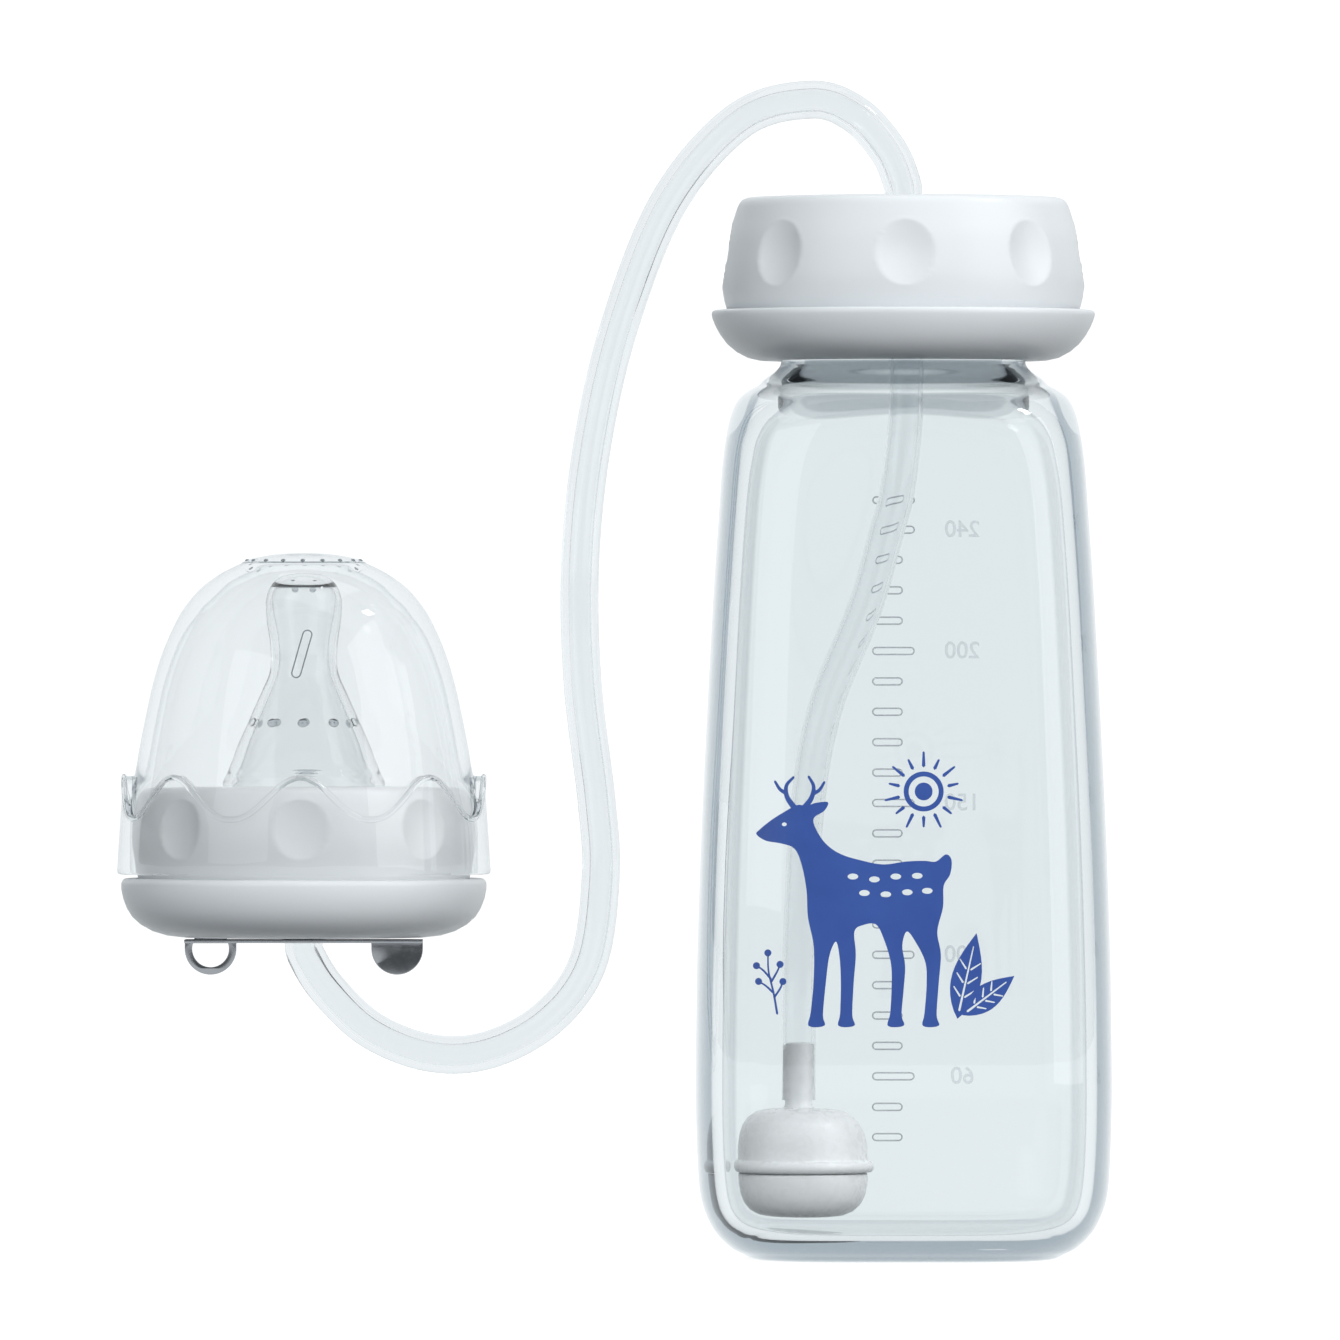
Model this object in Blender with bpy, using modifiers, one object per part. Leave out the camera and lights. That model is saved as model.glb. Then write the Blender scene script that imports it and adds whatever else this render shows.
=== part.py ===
"""Hands-free feeding bottle.

A rounded-square glass bottle with a screw cap, a weighted straw inside it and a soft
hose that leads from the cap to a covered teat on a saucer-shaped base.
Bottle axis on Z, bottle base on Z = 0, front of the bottle towards -Y.
Lengths below are in millimetres and become metres where the meshes are made.
"""
import math

import bmesh
import bpy
from mathutils import Matrix, Vector

MM = 0.001
MERGE = 0.00001

# Bottle
BOTTLE_HALF_WIDTH = 29.36
BOTTLE_WALL = 3.0
FLOOR_THICKNESS = 3.25
SQUARENESS = 4.2
INNER_SQUARENESS = 4.7
NECK_RADIUS = 17.3
NECK_BORE = 14.0
SHOULDER_Z = 123.3
NECK_FOOT_Z = 126.4
NECK_TOP_Z = 143.6

# Threads, shared by the cap and the teat ring
THREAD_PITCH = 5.2
THREAD_BEAD = 1.15
THREAD_TURNS = 2.0
TEAT_THREAD_TURNS = 1.5
THREAD_CLEARANCE = 1.9

# Cap
CAP_TOP_Z = 150.0
CAP_RADIUS = 25.6
CAP_HOLE = 13.2
CAP_DIMPLE_Z = 141.8
VENT_X = 10.1
SAUCER_RADIUS = 27.1
SAUCER_BOTTOM_Z = 127.0
SAUCER_TOP_Z = 134.0
SAUCER_WALL = 1.5
DIMPLES = 8
DIMPLE_SPHERE = 11.0
DIMPLE_DEPTH = 1.1

# Straw and weighted end
STRAW_RADIUS = 2.45
STRAW_BORE = 1.9
WEIGHT_X = -14.8
WEIGHT_RADIUS = 9.0
WEIGHT_LIP = 10.17
WEIGHT_BOTTOM_Z = 5.5
WEIGHT_SEAM_Z = 12.9
WEIGHT_TOP_Z = 21.2
STEM_TOP_Z = 30.5
STEM_RADIUS = 1.5

# Hose
HOSE_RADIUS = 2.7
HOSE_POINTS = 60
HOSE_ROUTE = (
    (0.0, 150.3), (-0.2, 152.2), (-2.2, 156.8), (-6.9, 161.9), (-13.2, 163.9), (-23.1, 161.0),
    (-33.0, 149.7), (-39.9, 132.7), (-43.9, 115.7), (-45.7, 98.8), (-45.4, 81.8), (-43.4, 64.8),
    (-42.8, 54.2), (-44.6, 41.8), (-50.2, 34.0), (-58.5, 29.5), (-66.8, 29.0), (-75.2, 32.2),
    (-81.4, 38.0), (-84.5, 42.9), (-84.8, 44.8),
)

# Teat unit
UNIT_X = -84.8
BASE_BOTTOM_Z = 45.4
BASE_RIM_Z = 53.8
BASE_RADIUS = 25.85
BOSS_RADIUS = 16.8
BOSS_TOP_Z = 62.1
RING_TOP_Z = 66.9
RING_RADIUS = 24.3
RING_HOLE = 11.9
RING_DIMPLE_Z = 60.8
LUG_OFFSET = 13.2
LUG_RADIUS = 3.65
LUG_HOLE = 2.6
LUG_CENTRE_Z = 43.75
LUG_THICKNESS = 1.5
STRIP_THICKNESS = 0.5
COVER_BOTTOM_Z = 54.3
COVER_CREST_Z = 68.2
COVER_VALLEY_Z = 62.3
COVER_TOP_Z = 99.8

# Mesh density
BIG_STEPS = 32
MEDIUM_STEPS = 24
SMALL_STEPS = 16
LOFT_SIDES = 40
THREAD_STEPS = 16


def clear_scene():
    for obj in list(bpy.data.objects):
        bpy.data.objects.remove(obj, do_unlink=True)


def make_collection(name):
    collection = bpy.data.collections.new(name)
    bpy.context.scene.collection.children.link(collection)
    return collection


def make_material(name, colour, roughness, metallic=0.0, alpha=1.0):
    material = bpy.data.materials.new(name)
    material.use_nodes = True
    shader = material.node_tree.nodes["Principled BSDF"]
    shader.inputs["Base Color"].default_value = (*colour, 1.0)
    shader.inputs["Roughness"].default_value = roughness
    shader.inputs["Metallic"].default_value = metallic
    shader.inputs["Alpha"].default_value = alpha
    material.diffuse_color = (*colour, alpha)
    return material


def place(name, mesh, material, collection, origin=(0.0, 0.0, 0.0)):
    """Put a mesh, built in millimetres about its origin, into the scene in metres."""
    mesh.name = name
    if material:
        mesh.materials.append(material)
    obj = bpy.data.objects.new(name, mesh)
    obj.location = Vector(origin) * MM
    collection.objects.link(obj)
    return obj


def hide_helper(obj):
    obj.hide_render = True
    obj.display_type = "WIRE"


def turned(name, profile, material, collection, x=0.0, steps=BIG_STEPS, closed=True):
    """Turn a profile of (radius, height) about the vertical axis at x."""
    mesh = bpy.data.meshes.new(name)
    points = [(radius * MM, 0.0, height * MM) for radius, height in profile]
    edges = [(i, i + 1) for i in range(len(points) - 1)]
    if closed:
        edges.append((len(points) - 1, 0))
    mesh.from_pydata(points, edges, [])
    obj = place(name, mesh, material, collection, (x, 0.0, 0.0))
    screw = obj.modifiers.new("Turn", "SCREW")
    screw.steps = steps
    screw.render_steps = steps
    screw.use_merge_vertices = True
    screw.merge_threshold = MERGE
    return obj


def loft(name, rings, material, collection, x=0.0):
    """Join rings of points, in millimetres, into one closed skin with flat ends."""
    bm = bmesh.new()
    loops = []
    for ring in rings:
        loops.append([bm.verts.new(Vector(point) * MM) for point in ring])
    count = len(loops[0])
    for lower, upper in zip(loops, loops[1:]):
        for i in range(count):
            j = (i + 1) % count
            bm.faces.new((lower[i], lower[j], upper[j], upper[i]))
    bm.faces.new(list(reversed(loops[0])))
    bm.faces.new(loops[-1])
    mesh = bpy.data.meshes.new(name)
    bm.to_mesh(mesh)
    bm.free()
    return place(name, mesh, material, collection, (x, 0.0, 0.0))


def tube(name, points, radius, material, collection, resolution=2, tapers=None):
    """Make a tube along points in millimetres and return it as a welded mesh object."""
    curve = bpy.data.curves.new(name, "CURVE")
    curve.dimensions = "3D"
    curve.bevel_depth = radius * MM
    curve.bevel_resolution = resolution
    curve.use_fill_caps = True
    spline = curve.splines.new("POLY")
    spline.points.add(len(points) - 1)
    for i, point in enumerate(points):
        spline.points[i].co = (*(Vector(point) * MM), 1.0)
        spline.points[i].radius = tapers[i] if tapers else 1.0
    guide = bpy.data.objects.new(name + "_guide", curve)
    collection.objects.link(guide)
    depsgraph = bpy.context.evaluated_depsgraph_get()
    mesh = bpy.data.meshes.new_from_object(guide.evaluated_get(depsgraph))
    bm = bmesh.new()
    bm.from_mesh(mesh)
    bmesh.ops.remove_doubles(bm, verts=bm.verts, dist=MERGE)
    bmesh.ops.recalc_face_normals(bm, faces=bm.faces)
    bm.to_mesh(mesh)
    bm.free()
    bpy.data.objects.remove(guide, do_unlink=True)
    mesh.materials.clear()
    return place(name, mesh, material, collection)


def combine(obj, other, operation):
    hide_helper(other)
    modifier = obj.modifiers.new(other.name, "BOOLEAN")
    modifier.operation = operation
    modifier.object = other
    modifier.solver = "EXACT"


def shade(obj):
    mesh = obj.data
    mesh.shade_smooth()
    mesh.set_sharp_from_angle(angle=math.radians(40))


def smooth_route(route, count):
    """Sample a smooth curve through the route's own points at even spacing."""
    dense = []
    padded = [2 * route[0] - route[1], *route, 2 * route[-1] - route[-2]]
    for a, b, c, d in zip(padded, padded[1:], padded[2:], padded[3:]):
        for step in range(20):
            t = step / 20
            dense.append(0.5 * (2 * b + (c - a) * t + (2 * a - 5 * b + 4 * c - d) * t ** 2
                                + (3 * b - a - 3 * c + d) * t ** 3))
    dense.append(route[-1])
    lengths = [0.0]
    for first, second in zip(dense, dense[1:]):
        lengths.append(lengths[-1] + (second - first).length)
    samples = []
    index = 0
    for i in range(count):
        target = lengths[-1] * i / (count - 1)
        while index < len(lengths) - 2 and lengths[index + 1] < target:
            index += 1
        share = (target - lengths[index]) / (lengths[index + 1] - lengths[index])
        samples.append(dense[index].lerp(dense[index + 1], share))
    return samples


def thread_bead(name, radius, start, turns, collection, x=0.0):
    """A rounded thread ridge, half sunk in the wall at the given radius."""
    count = int(THREAD_STEPS * turns) + 1
    points = []
    tapers = []
    for i in range(count):
        angle = 2 * math.pi * i / THREAD_STEPS
        height = start + THREAD_PITCH * i / THREAD_STEPS
        points.append((x + radius * math.cos(angle), radius * math.sin(angle), height))
        tapers.append(min(1.0, 0.4 + 0.2 * min(i, count - 1 - i)))
    return tube(name, points, THREAD_BEAD, None, collection, 0, tapers)


def dimple_cutter(name, radius, height, collection, x=0.0):
    """A ring of balls that press shallow finger dimples into a round wall."""
    bm = bmesh.new()
    reach = radius + DIMPLE_SPHERE - DIMPLE_DEPTH
    for i in range(DIMPLES):
        angle = 2 * math.pi * i / DIMPLES
        spot = Vector((reach * math.cos(angle), reach * math.sin(angle), height)) * MM
        bmesh.ops.create_uvsphere(bm, u_segments=24, v_segments=16, radius=DIMPLE_SPHERE * MM,
                                  matrix=Matrix.Translation(spot))
    mesh = bpy.data.meshes.new(name)
    bm.to_mesh(mesh)
    bm.free()
    return place(name, mesh, None, collection, (x, 0.0, 0.0))


def drilled(name, holes, radius, bottom, top, collection, x=0.0):
    """Upright round cutters at each (x, y) of holes."""
    bm = bmesh.new()
    for spot_x, spot_y in holes:
        centre = Vector((spot_x, spot_y, (bottom + top) / 2)) * MM
        bmesh.ops.create_cone(bm, cap_ends=True, segments=16, radius1=radius * MM, radius2=radius * MM,
                              depth=(top - bottom) * MM, matrix=Matrix.Translation(centre))
    mesh = bpy.data.meshes.new(name)
    bm.to_mesh(mesh)
    bm.free()
    return place(name, mesh, None, collection, (x, 0.0, 0.0))


def rounded_square(height, half_width, squareness):
    """One level ring of points: a circle at squareness 2, nearly square at 4 and over."""
    ring = []
    for i in range(LOFT_SIDES):
        angle = 2 * math.pi * i / LOFT_SIDES
        across = abs(math.cos(angle)) ** squareness + abs(math.sin(angle)) ** squareness
        reach = half_width / across ** (1 / squareness)
        ring.append((reach * math.cos(angle), reach * math.sin(angle), height))
    return ring


def bottle_body(material, parts, cutters):
    """Thick-walled vessel from a square foot to a round threaded neck."""
    widest = BOTTLE_HALF_WIDTH
    outside = [
        (0.0, 20.5, SQUARENESS), (0.9, 22.8, SQUARENESS), (2.2, 25.2, SQUARENESS), (4.5, 27.1, SQUARENESS),
        (8.5, 28.6, SQUARENESS), (14.0, 29.15, SQUARENESS), (26.0, widest, SQUARENESS),
        (42.0, 29.2, SQUARENESS), (60.0, 28.6, SQUARENESS), (78.0, 27.7, SQUARENESS), (96.0, 26.75, SQUARENESS),
        (108.0, 25.95, 4.1), (114.3, 25.3, 3.8), (118.6, 24.6, 3.3), (121.2, 23.7, 2.8), (122.8, 22.4, 2.4),
        (SHOULDER_Z, 20.3, 2.0), (NECK_FOOT_Z, NECK_RADIUS, 2.0), (NECK_TOP_Z - 0.5, NECK_RADIUS, 2.0),
        (NECK_TOP_Z, NECK_RADIUS - 0.5, 2.0),
    ]
    inside = [
        (NECK_TOP_Z, NECK_BORE + 0.5, 2.0), (NECK_TOP_Z - 0.5, NECK_BORE, 2.0),
        (NECK_FOOT_Z - 0.5, NECK_BORE, 2.0), (SHOULDER_Z - 1.5, 17.2, 2.1), (119.5, 20.3, 2.6),
    ]
    tighter = INNER_SQUARENESS / SQUARENESS
    for height, half_width, squareness in reversed(outside[6:14]):
        inside.append((height - 2.0, half_width - BOTTLE_WALL, squareness * tighter))
    inside += [
        (11.0, 25.9, INNER_SQUARENESS), (7.0, 24.9, INNER_SQUARENESS), (4.8, 23.0, INNER_SQUARENESS),
        (3.7, 20.5, SQUARENESS), (FLOOR_THICKNESS, 17.0, SQUARENESS),
    ]
    rings = [rounded_square(*level) for level in outside + inside]
    body = loft("bottle_body", rings, material, parts)
    bead = thread_bead("neck_thread", NECK_RADIUS, 129.4, THREAD_TURNS, cutters)
    combine(body, bead, "UNION")
    return body


def cap_saucer(material, parts):
    """Open bowl that is snapped over the neck thread and lies round the neck's foot."""
    hole = NECK_RADIUS + 0.35
    profile = [
        (SAUCER_RADIUS - 0.6, SAUCER_TOP_Z), (SAUCER_RADIUS, SAUCER_TOP_Z - 0.5), (26.9, 132.3), (26.2, 131.0),
        (25.4, 129.8), (24.2, 128.6), (22.6, 127.5), (20.8, SAUCER_BOTTOM_Z), (hole, SAUCER_BOTTOM_Z),
        (hole, SAUCER_BOTTOM_Z + SAUCER_WALL), (20.4, SAUCER_BOTTOM_Z + SAUCER_WALL), (21.9, 129.1),
        (23.2, 130.1), (24.3, 131.4), (25.1, 132.6), (25.5, 133.5), (25.9, SAUCER_TOP_Z),
    ]
    return turned("cap_saucer", profile, material, parts)


def cap_collar(material, parts, cutters):
    """Double-walled screw ring: dimpled barrel outside, threaded sleeve inside."""
    sleeve = NECK_RADIUS + THREAD_CLEARANCE
    under = CAP_TOP_Z - 2.7
    profile = [
        (22.0, CAP_TOP_Z), (22.9, CAP_TOP_Z - 0.6), (23.6, 148.0), (24.1, 146.8), (24.75, 144.6), (25.2, 142.3),
        (25.5, 139.8), (CAP_RADIUS, 137.8), (25.35, 135.8), (24.7, 133.9), (23.8, 132.4), (22.9, 131.7),
        (21.8, 132.2), (22.6, 134.4), (23.3, 137.8), (23.1, 141.0), (22.4, 145.0), (21.6, under),
        (21.0, under), (21.0, 130.4), (sleeve, 130.4), (sleeve, under), (CAP_HOLE, under),
        (CAP_HOLE, CAP_TOP_Z - 0.4), (CAP_HOLE + 0.4, CAP_TOP_Z),
    ]
    collar = turned("cap_collar", profile, material, parts)
    bead = thread_bead("cap_thread", sleeve, 129.4 + THREAD_PITCH * 0.5, THREAD_TURNS, cutters)
    combine(collar, bead, "UNION")
    combine(collar, dimple_cutter("cap_dimples", 25.25, CAP_DIMPLE_Z, cutters), "DIFFERENCE")
    return collar


def cap_disc(material, parts, cutters):
    """Sealing disc under the ring: raised centre, hose seat and straw spigot."""
    profile = [
        (12.2, 149.6), (12.6, 149.2), (12.6, 147.0), (16.6, 147.0), (16.6, 145.5), (5.2, 145.5), (5.2, 139.5),
        (3.9, 139.5), (3.9, 147.9), (5.9, 147.9), (5.9, 149.6),
    ]
    disc = turned("cap_disc", profile, material, parts)
    combine(disc, drilled("vent_hole", [(VENT_X, 0.0)], 1.8, 144.0, 151.0, cutters), "DIFFERENCE")
    return disc


def cap_gasket(material, parts):
    profile = [(16.9, 145.2), (16.9, 143.9), (13.8, 143.9), (13.8, 145.2)]
    return turned("cap_gasket", profile, material, parts)


def cap_vent(material, parts):
    """Soft air valve plugged through the disc."""
    profile = [
        (0.0, 150.0), (2.4, 150.0), (2.6, 149.9), (1.5, 149.6), (1.5, 145.2), (2.3, 145.2), (2.3, 144.6),
        (0.7, 142.9), (0.0, 142.9),
    ]
    return turned("cap_vent", profile, material, parts, x=VENT_X, steps=SMALL_STEPS, closed=False)


def cap_fitting(material, parts):
    """Hollow nipple that the hose is pushed on; it turns in the disc."""
    profile = [
        (3.3, 149.8), (3.3, 149.3), (5.5, 149.3), (5.5, 148.2), (3.55, 148.2), (3.55, 140.0), (1.5, 140.0),
        (1.5, 149.8),
    ]
    return turned("cap_fitting", profile, material, parts, steps=SMALL_STEPS)


def straw_socket(material, parts):
    """Soft sleeve on the disc's spigot; it turns there and carries the straw."""
    profile = [
        (6.9, 145.1), (6.9, 136.0), (5.6, 134.2), (1.9, 134.2), (1.9, 136.2), (5.5, 138.6), (5.5, 145.1),
    ]
    return turned("straw_socket", profile, material, parts, steps=SMALL_STEPS)


def straw(material, parts, cutters):
    """Soft drinking straw that curves down to the weighted end."""
    route = [
        (0.3, 133.2), (0.5, 127.0), (-0.1, 114.3), (-2.2, 103.3), (-6.2, 90.1), (-10.5, 79.4), (-13.1, 67.6),
        (-14.2, 52.0), (-14.7, 40.0), (-14.8, 30.6), (-14.8, 22.3),
    ]
    spine = smooth_route([Vector((x, 0.0, z)) for x, z in route], 26)
    outer = tube("straw", spine, STRAW_RADIUS, material, parts)
    first = spine[0] + (spine[0] - spine[1]).normalized()
    last = spine[-1] + (spine[-1] - spine[-2]).normalized()
    bore = tube("straw_bore", [first, *spine[1:-1], last], STRAW_BORE, None, cutters)
    combine(outer, bore, "DIFFERENCE")
    return outer


def weight_upper(material, parts):
    """Upper half of the weighted end with the hollow stem inside the straw."""
    seam = WEIGHT_SEAM_Z + 0.1
    profile = [
        (STEM_RADIUS, STEM_TOP_Z), (STEM_RADIUS, 22.2), (2.0, WEIGHT_TOP_Z), (4.8, WEIGHT_TOP_Z), (6.6, 20.2),
        (8.0, 18.2), (8.8, 15.8), (WEIGHT_RADIUS, 13.9), (WEIGHT_LIP, 13.7), (WEIGHT_LIP, seam), (7.5, seam),
        (7.3, 15.6), (6.4, 17.8), (4.4, 19.7), (0.8, 19.9), (0.8, STEM_TOP_Z),
    ]
    return turned("weight_upper", profile, material, parts, x=WEIGHT_X, steps=MEDIUM_STEPS)


def weight_lower(material, parts):
    """Lower half of the weighted end, with its intake hole."""
    seam = WEIGHT_SEAM_Z - 0.1
    profile = [
        (WEIGHT_LIP, seam), (WEIGHT_LIP, 12.1), (WEIGHT_RADIUS, 11.9), (8.8, 10.2), (8.0, 8.0), (6.6, 6.3),
        (4.8, WEIGHT_BOTTOM_Z), (1.2, WEIGHT_BOTTOM_Z), (1.2, 6.9), (4.4, 7.0), (6.2, 8.4), (7.2, 10.4),
        (7.5, seam),
    ]
    return turned("weight_lower", profile, material, parts, x=WEIGHT_X, steps=MEDIUM_STEPS)


def weight_ballast(material, parts):
    """Steel ring that weighs the straw's end down."""
    profile = [
        (4.8, 16.8), (6.0, 16.0), (6.8, 14.4), (6.8, 11.2), (6.0, 9.6), (4.8, 8.8), (2.2, 8.8), (2.2, 16.8),
    ]
    return turned("weight_ballast", profile, material, parts, x=WEIGHT_X, steps=MEDIUM_STEPS)


def outer_tube(material, parts):
    """Hose from the cap, up, over and round to the underside of the teat unit."""
    spine = smooth_route([Vector((x, 0.0, z)) for x, z in HOSE_ROUTE], HOSE_POINTS)
    return tube("outer_tube", spine, HOSE_RADIUS, material, parts)


def base_saucer(material, parts, cutters):
    """Saucer-shaped base with a threaded hollow boss that takes the teat."""
    profile = [
        (BASE_RADIUS - 0.9, BASE_RIM_Z), (BASE_RADIUS - 0.2, BASE_RIM_Z - 0.4), (BASE_RADIUS, 52.5), (25.5, 50.7),
        (25.0, 49.5), (24.3, 48.4), (23.3, 47.3), (21.0, 46.1), (17.7, BASE_BOTTOM_Z), (3.0, BASE_BOTTOM_Z),
        (3.0, 47.3), (11.0, 47.3), (11.0, 49.7), (12.1, 49.7), (12.1, BOSS_TOP_Z), (BOSS_RADIUS, BOSS_TOP_Z),
        (BOSS_RADIUS, 48.2), (20.6, 48.2), (22.3, 49.2), (23.4, 50.4), (24.1, 51.9), (24.3, BASE_RIM_Z - 0.2),
    ]
    base = turned("base_saucer", profile, material, parts, x=UNIT_X)
    bead = thread_bead("boss_thread", BOSS_RADIUS, 51.2, TEAT_THREAD_TURNS, cutters, UNIT_X)
    combine(base, bead, "UNION")
    return base


def lug_plate(material, parts, cutters):
    """Flat steel strip under the base with an eye at one end and a plain tab at the other."""
    top = BASE_BOTTOM_Z - 0.3
    underside = top - STRIP_THICKNESS
    bm = bmesh.new()
    bmesh.ops.create_cube(bm, size=1.0)
    strip_size = Vector((2 * (LUG_OFFSET + LUG_RADIUS), 2 * LUG_RADIUS, STRIP_THICKNESS)) * MM
    bmesh.ops.scale(bm, vec=strip_size, verts=bm.verts)
    bmesh.ops.translate(bm, vec=Vector((0.0, 0.0, (top + underside) / 2)) * MM, verts=bm.verts)
    mesh = bpy.data.meshes.new("lug_plate")
    bm.to_mesh(mesh)
    bm.free()
    plate = place("lug_plate", mesh, material, parts, (UNIT_X, 0.0, 0.0))
    combine(plate, drilled("hose_hole", [(0.0, 0.0)], 3.3, underside - 1, top + 1, cutters, UNIT_X), "DIFFERENCE")
    eye = lug("eye", -LUG_OFFSET, underside + STRIP_THICKNESS / 2, cutters)
    combine(eye, lug_hole(-LUG_OFFSET, cutters), "DIFFERENCE")
    combine(plate, eye, "UNION")
    combine(plate, lug("tab", LUG_OFFSET, underside + STRIP_THICKNESS / 2, cutters), "UNION")
    return plate


def lug(name, offset, top, collection):
    """Upright tab, square above and round below, standing across the strip."""
    bm = bmesh.new()
    outline = [(offset + LUG_RADIUS, top), (offset - LUG_RADIUS, top)]
    for i in range(21):
        angle = math.pi + math.pi * i / 20
        outline.append((offset + LUG_RADIUS * math.cos(angle), LUG_CENTRE_Z + LUG_RADIUS * math.sin(angle)))
    front = [bm.verts.new(Vector((x, -LUG_THICKNESS / 2, z)) * MM) for x, z in outline]
    face = bm.faces.new(front)
    extruded = bmesh.ops.extrude_face_region(bm, geom=[face])
    moved = [item for item in extruded["geom"] if isinstance(item, bmesh.types.BMVert)]
    bmesh.ops.translate(bm, vec=Vector((0.0, LUG_THICKNESS, 0.0)) * MM, verts=moved)
    bmesh.ops.recalc_face_normals(bm, faces=bm.faces)
    mesh = bpy.data.meshes.new(name)
    bm.to_mesh(mesh)
    bm.free()
    return place(name, mesh, None, collection, (UNIT_X, 0.0, 0.0))


def lug_hole(offset, collection):
    bm = bmesh.new()
    turn = Matrix.Rotation(math.radians(90), 4, "X")
    centre = Matrix.Translation(Vector((offset, 0.0, LUG_CENTRE_Z)) * MM)
    bmesh.ops.create_cone(bm, cap_ends=True, segments=24, radius1=LUG_HOLE * MM, radius2=LUG_HOLE * MM,
                          depth=4 * LUG_THICKNESS * MM, matrix=centre @ turn)
    mesh = bpy.data.meshes.new("lug_hole")
    bm.to_mesh(mesh)
    bm.free()
    return place("lug_hole", mesh, None, collection, (UNIT_X, 0.0, 0.0))


def base_fitting(material, parts):
    """Hollow nipple that brings the hose through the base."""
    profile = [
        (5.0, 48.4), (5.0, 47.6), (2.65, 47.6), (2.65, 45.6), (1.5, 45.6), (1.5, 48.4),
    ]
    return turned("base_fitting", profile, material, parts, x=UNIT_X, steps=SMALL_STEPS)


def valve_seat(material, parts, cutters):
    """Perforated disc on the ledge inside the boss."""
    profile = [(11.75, 51.8), (11.75, 50.0), (1.6, 50.0), (1.6, 51.8)]
    seat = turned("valve_seat", profile, material, parts, x=UNIT_X, steps=SMALL_STEPS)
    spots = [(4.2 * math.cos(i * math.pi / 2), 4.2 * math.sin(i * math.pi / 2)) for i in range(4)]
    combine(seat, drilled("seat_ports", spots, 1.2, 49.0, 53.0, cutters, UNIT_X), "DIFFERENCE")
    return seat


def valve_flap(material, parts):
    """Soft mushroom valve: liquid lifts its rim on the way to the teat."""
    profile = [
        (0.0, 53.5), (2.0, 53.4), (6.5, 52.7), (6.5, 52.1), (1.25, 52.1), (1.25, 49.7), (2.1, 49.7),
        (1.2, 48.9), (0.0, 48.8),
    ]
    return turned("valve_flap", profile, material, parts, x=UNIT_X, steps=SMALL_STEPS, closed=False)


def teat(material, parts):
    """Soft teat: clamped flange, cone, waist and rounded head, hollow from below."""
    profile = [
        (0.0, 96.8), (2.2, 96.7), (4.0, 96.1), (5.1, 94.6), (5.4, 92.4), (5.15, 89.4), (4.8, 87.0), (4.7, 84.8),
        (5.0, 82.6), (5.7, 80.9), (6.8, 78.2), (8.3, 74.8), (9.9, 71.4), (11.0, 69.0), (11.5, 68.2),
        (11.5, 64.1), (16.3, 64.1), (16.3, 62.5), (10.0, 62.5), (10.0, 67.8), (9.4, 69.3), (8.4, 71.4),
        (6.9, 74.8), (5.4, 78.2), (4.3, 81.0), (3.5, 83.2), (3.3, 85.0), (3.4, 87.0), (3.75, 89.4), (4.0, 92.2),
        (3.5, 94.2), (2.2, 95.1), (0.0, 95.3),
    ]
    return turned("teat", profile, material, parts, x=UNIT_X, steps=MEDIUM_STEPS, closed=False)


def teat_collar(material, parts, cutters):
    """Double-walled screw ring that clamps the teat's flange on the boss."""
    sleeve = BOSS_RADIUS + THREAD_CLEARANCE
    under = 64.4
    profile = [
        (21.8, RING_TOP_Z), (22.9, 66.5), (23.5, 65.6), (24.0, 63.6), (RING_RADIUS, 60.8), (24.1, 57.5),
        (23.6, 54.6), (22.9, 52.2), (22.2, 50.9), (21.3, 51.2), (21.7, 54.6), (22.2, 57.5), (22.4, 60.8),
        (21.9, under), (20.5, under), (20.5, 51.4), (sleeve, 51.4), (sleeve, under), (RING_HOLE, under),
        (RING_HOLE, 66.5), (RING_HOLE + 0.4, RING_TOP_Z),
    ]
    ring = turned("teat_collar", profile, material, parts, x=UNIT_X)
    bead = thread_bead("ring_thread", sleeve, 51.2 + THREAD_PITCH * 0.5, TEAT_THREAD_TURNS, cutters, UNIT_X)
    combine(ring, bead, "UNION")
    combine(ring, dimple_cutter("ring_dimples", RING_RADIUS, RING_DIMPLE_Z, cutters, UNIT_X), "DIFFERENCE")
    return ring


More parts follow.
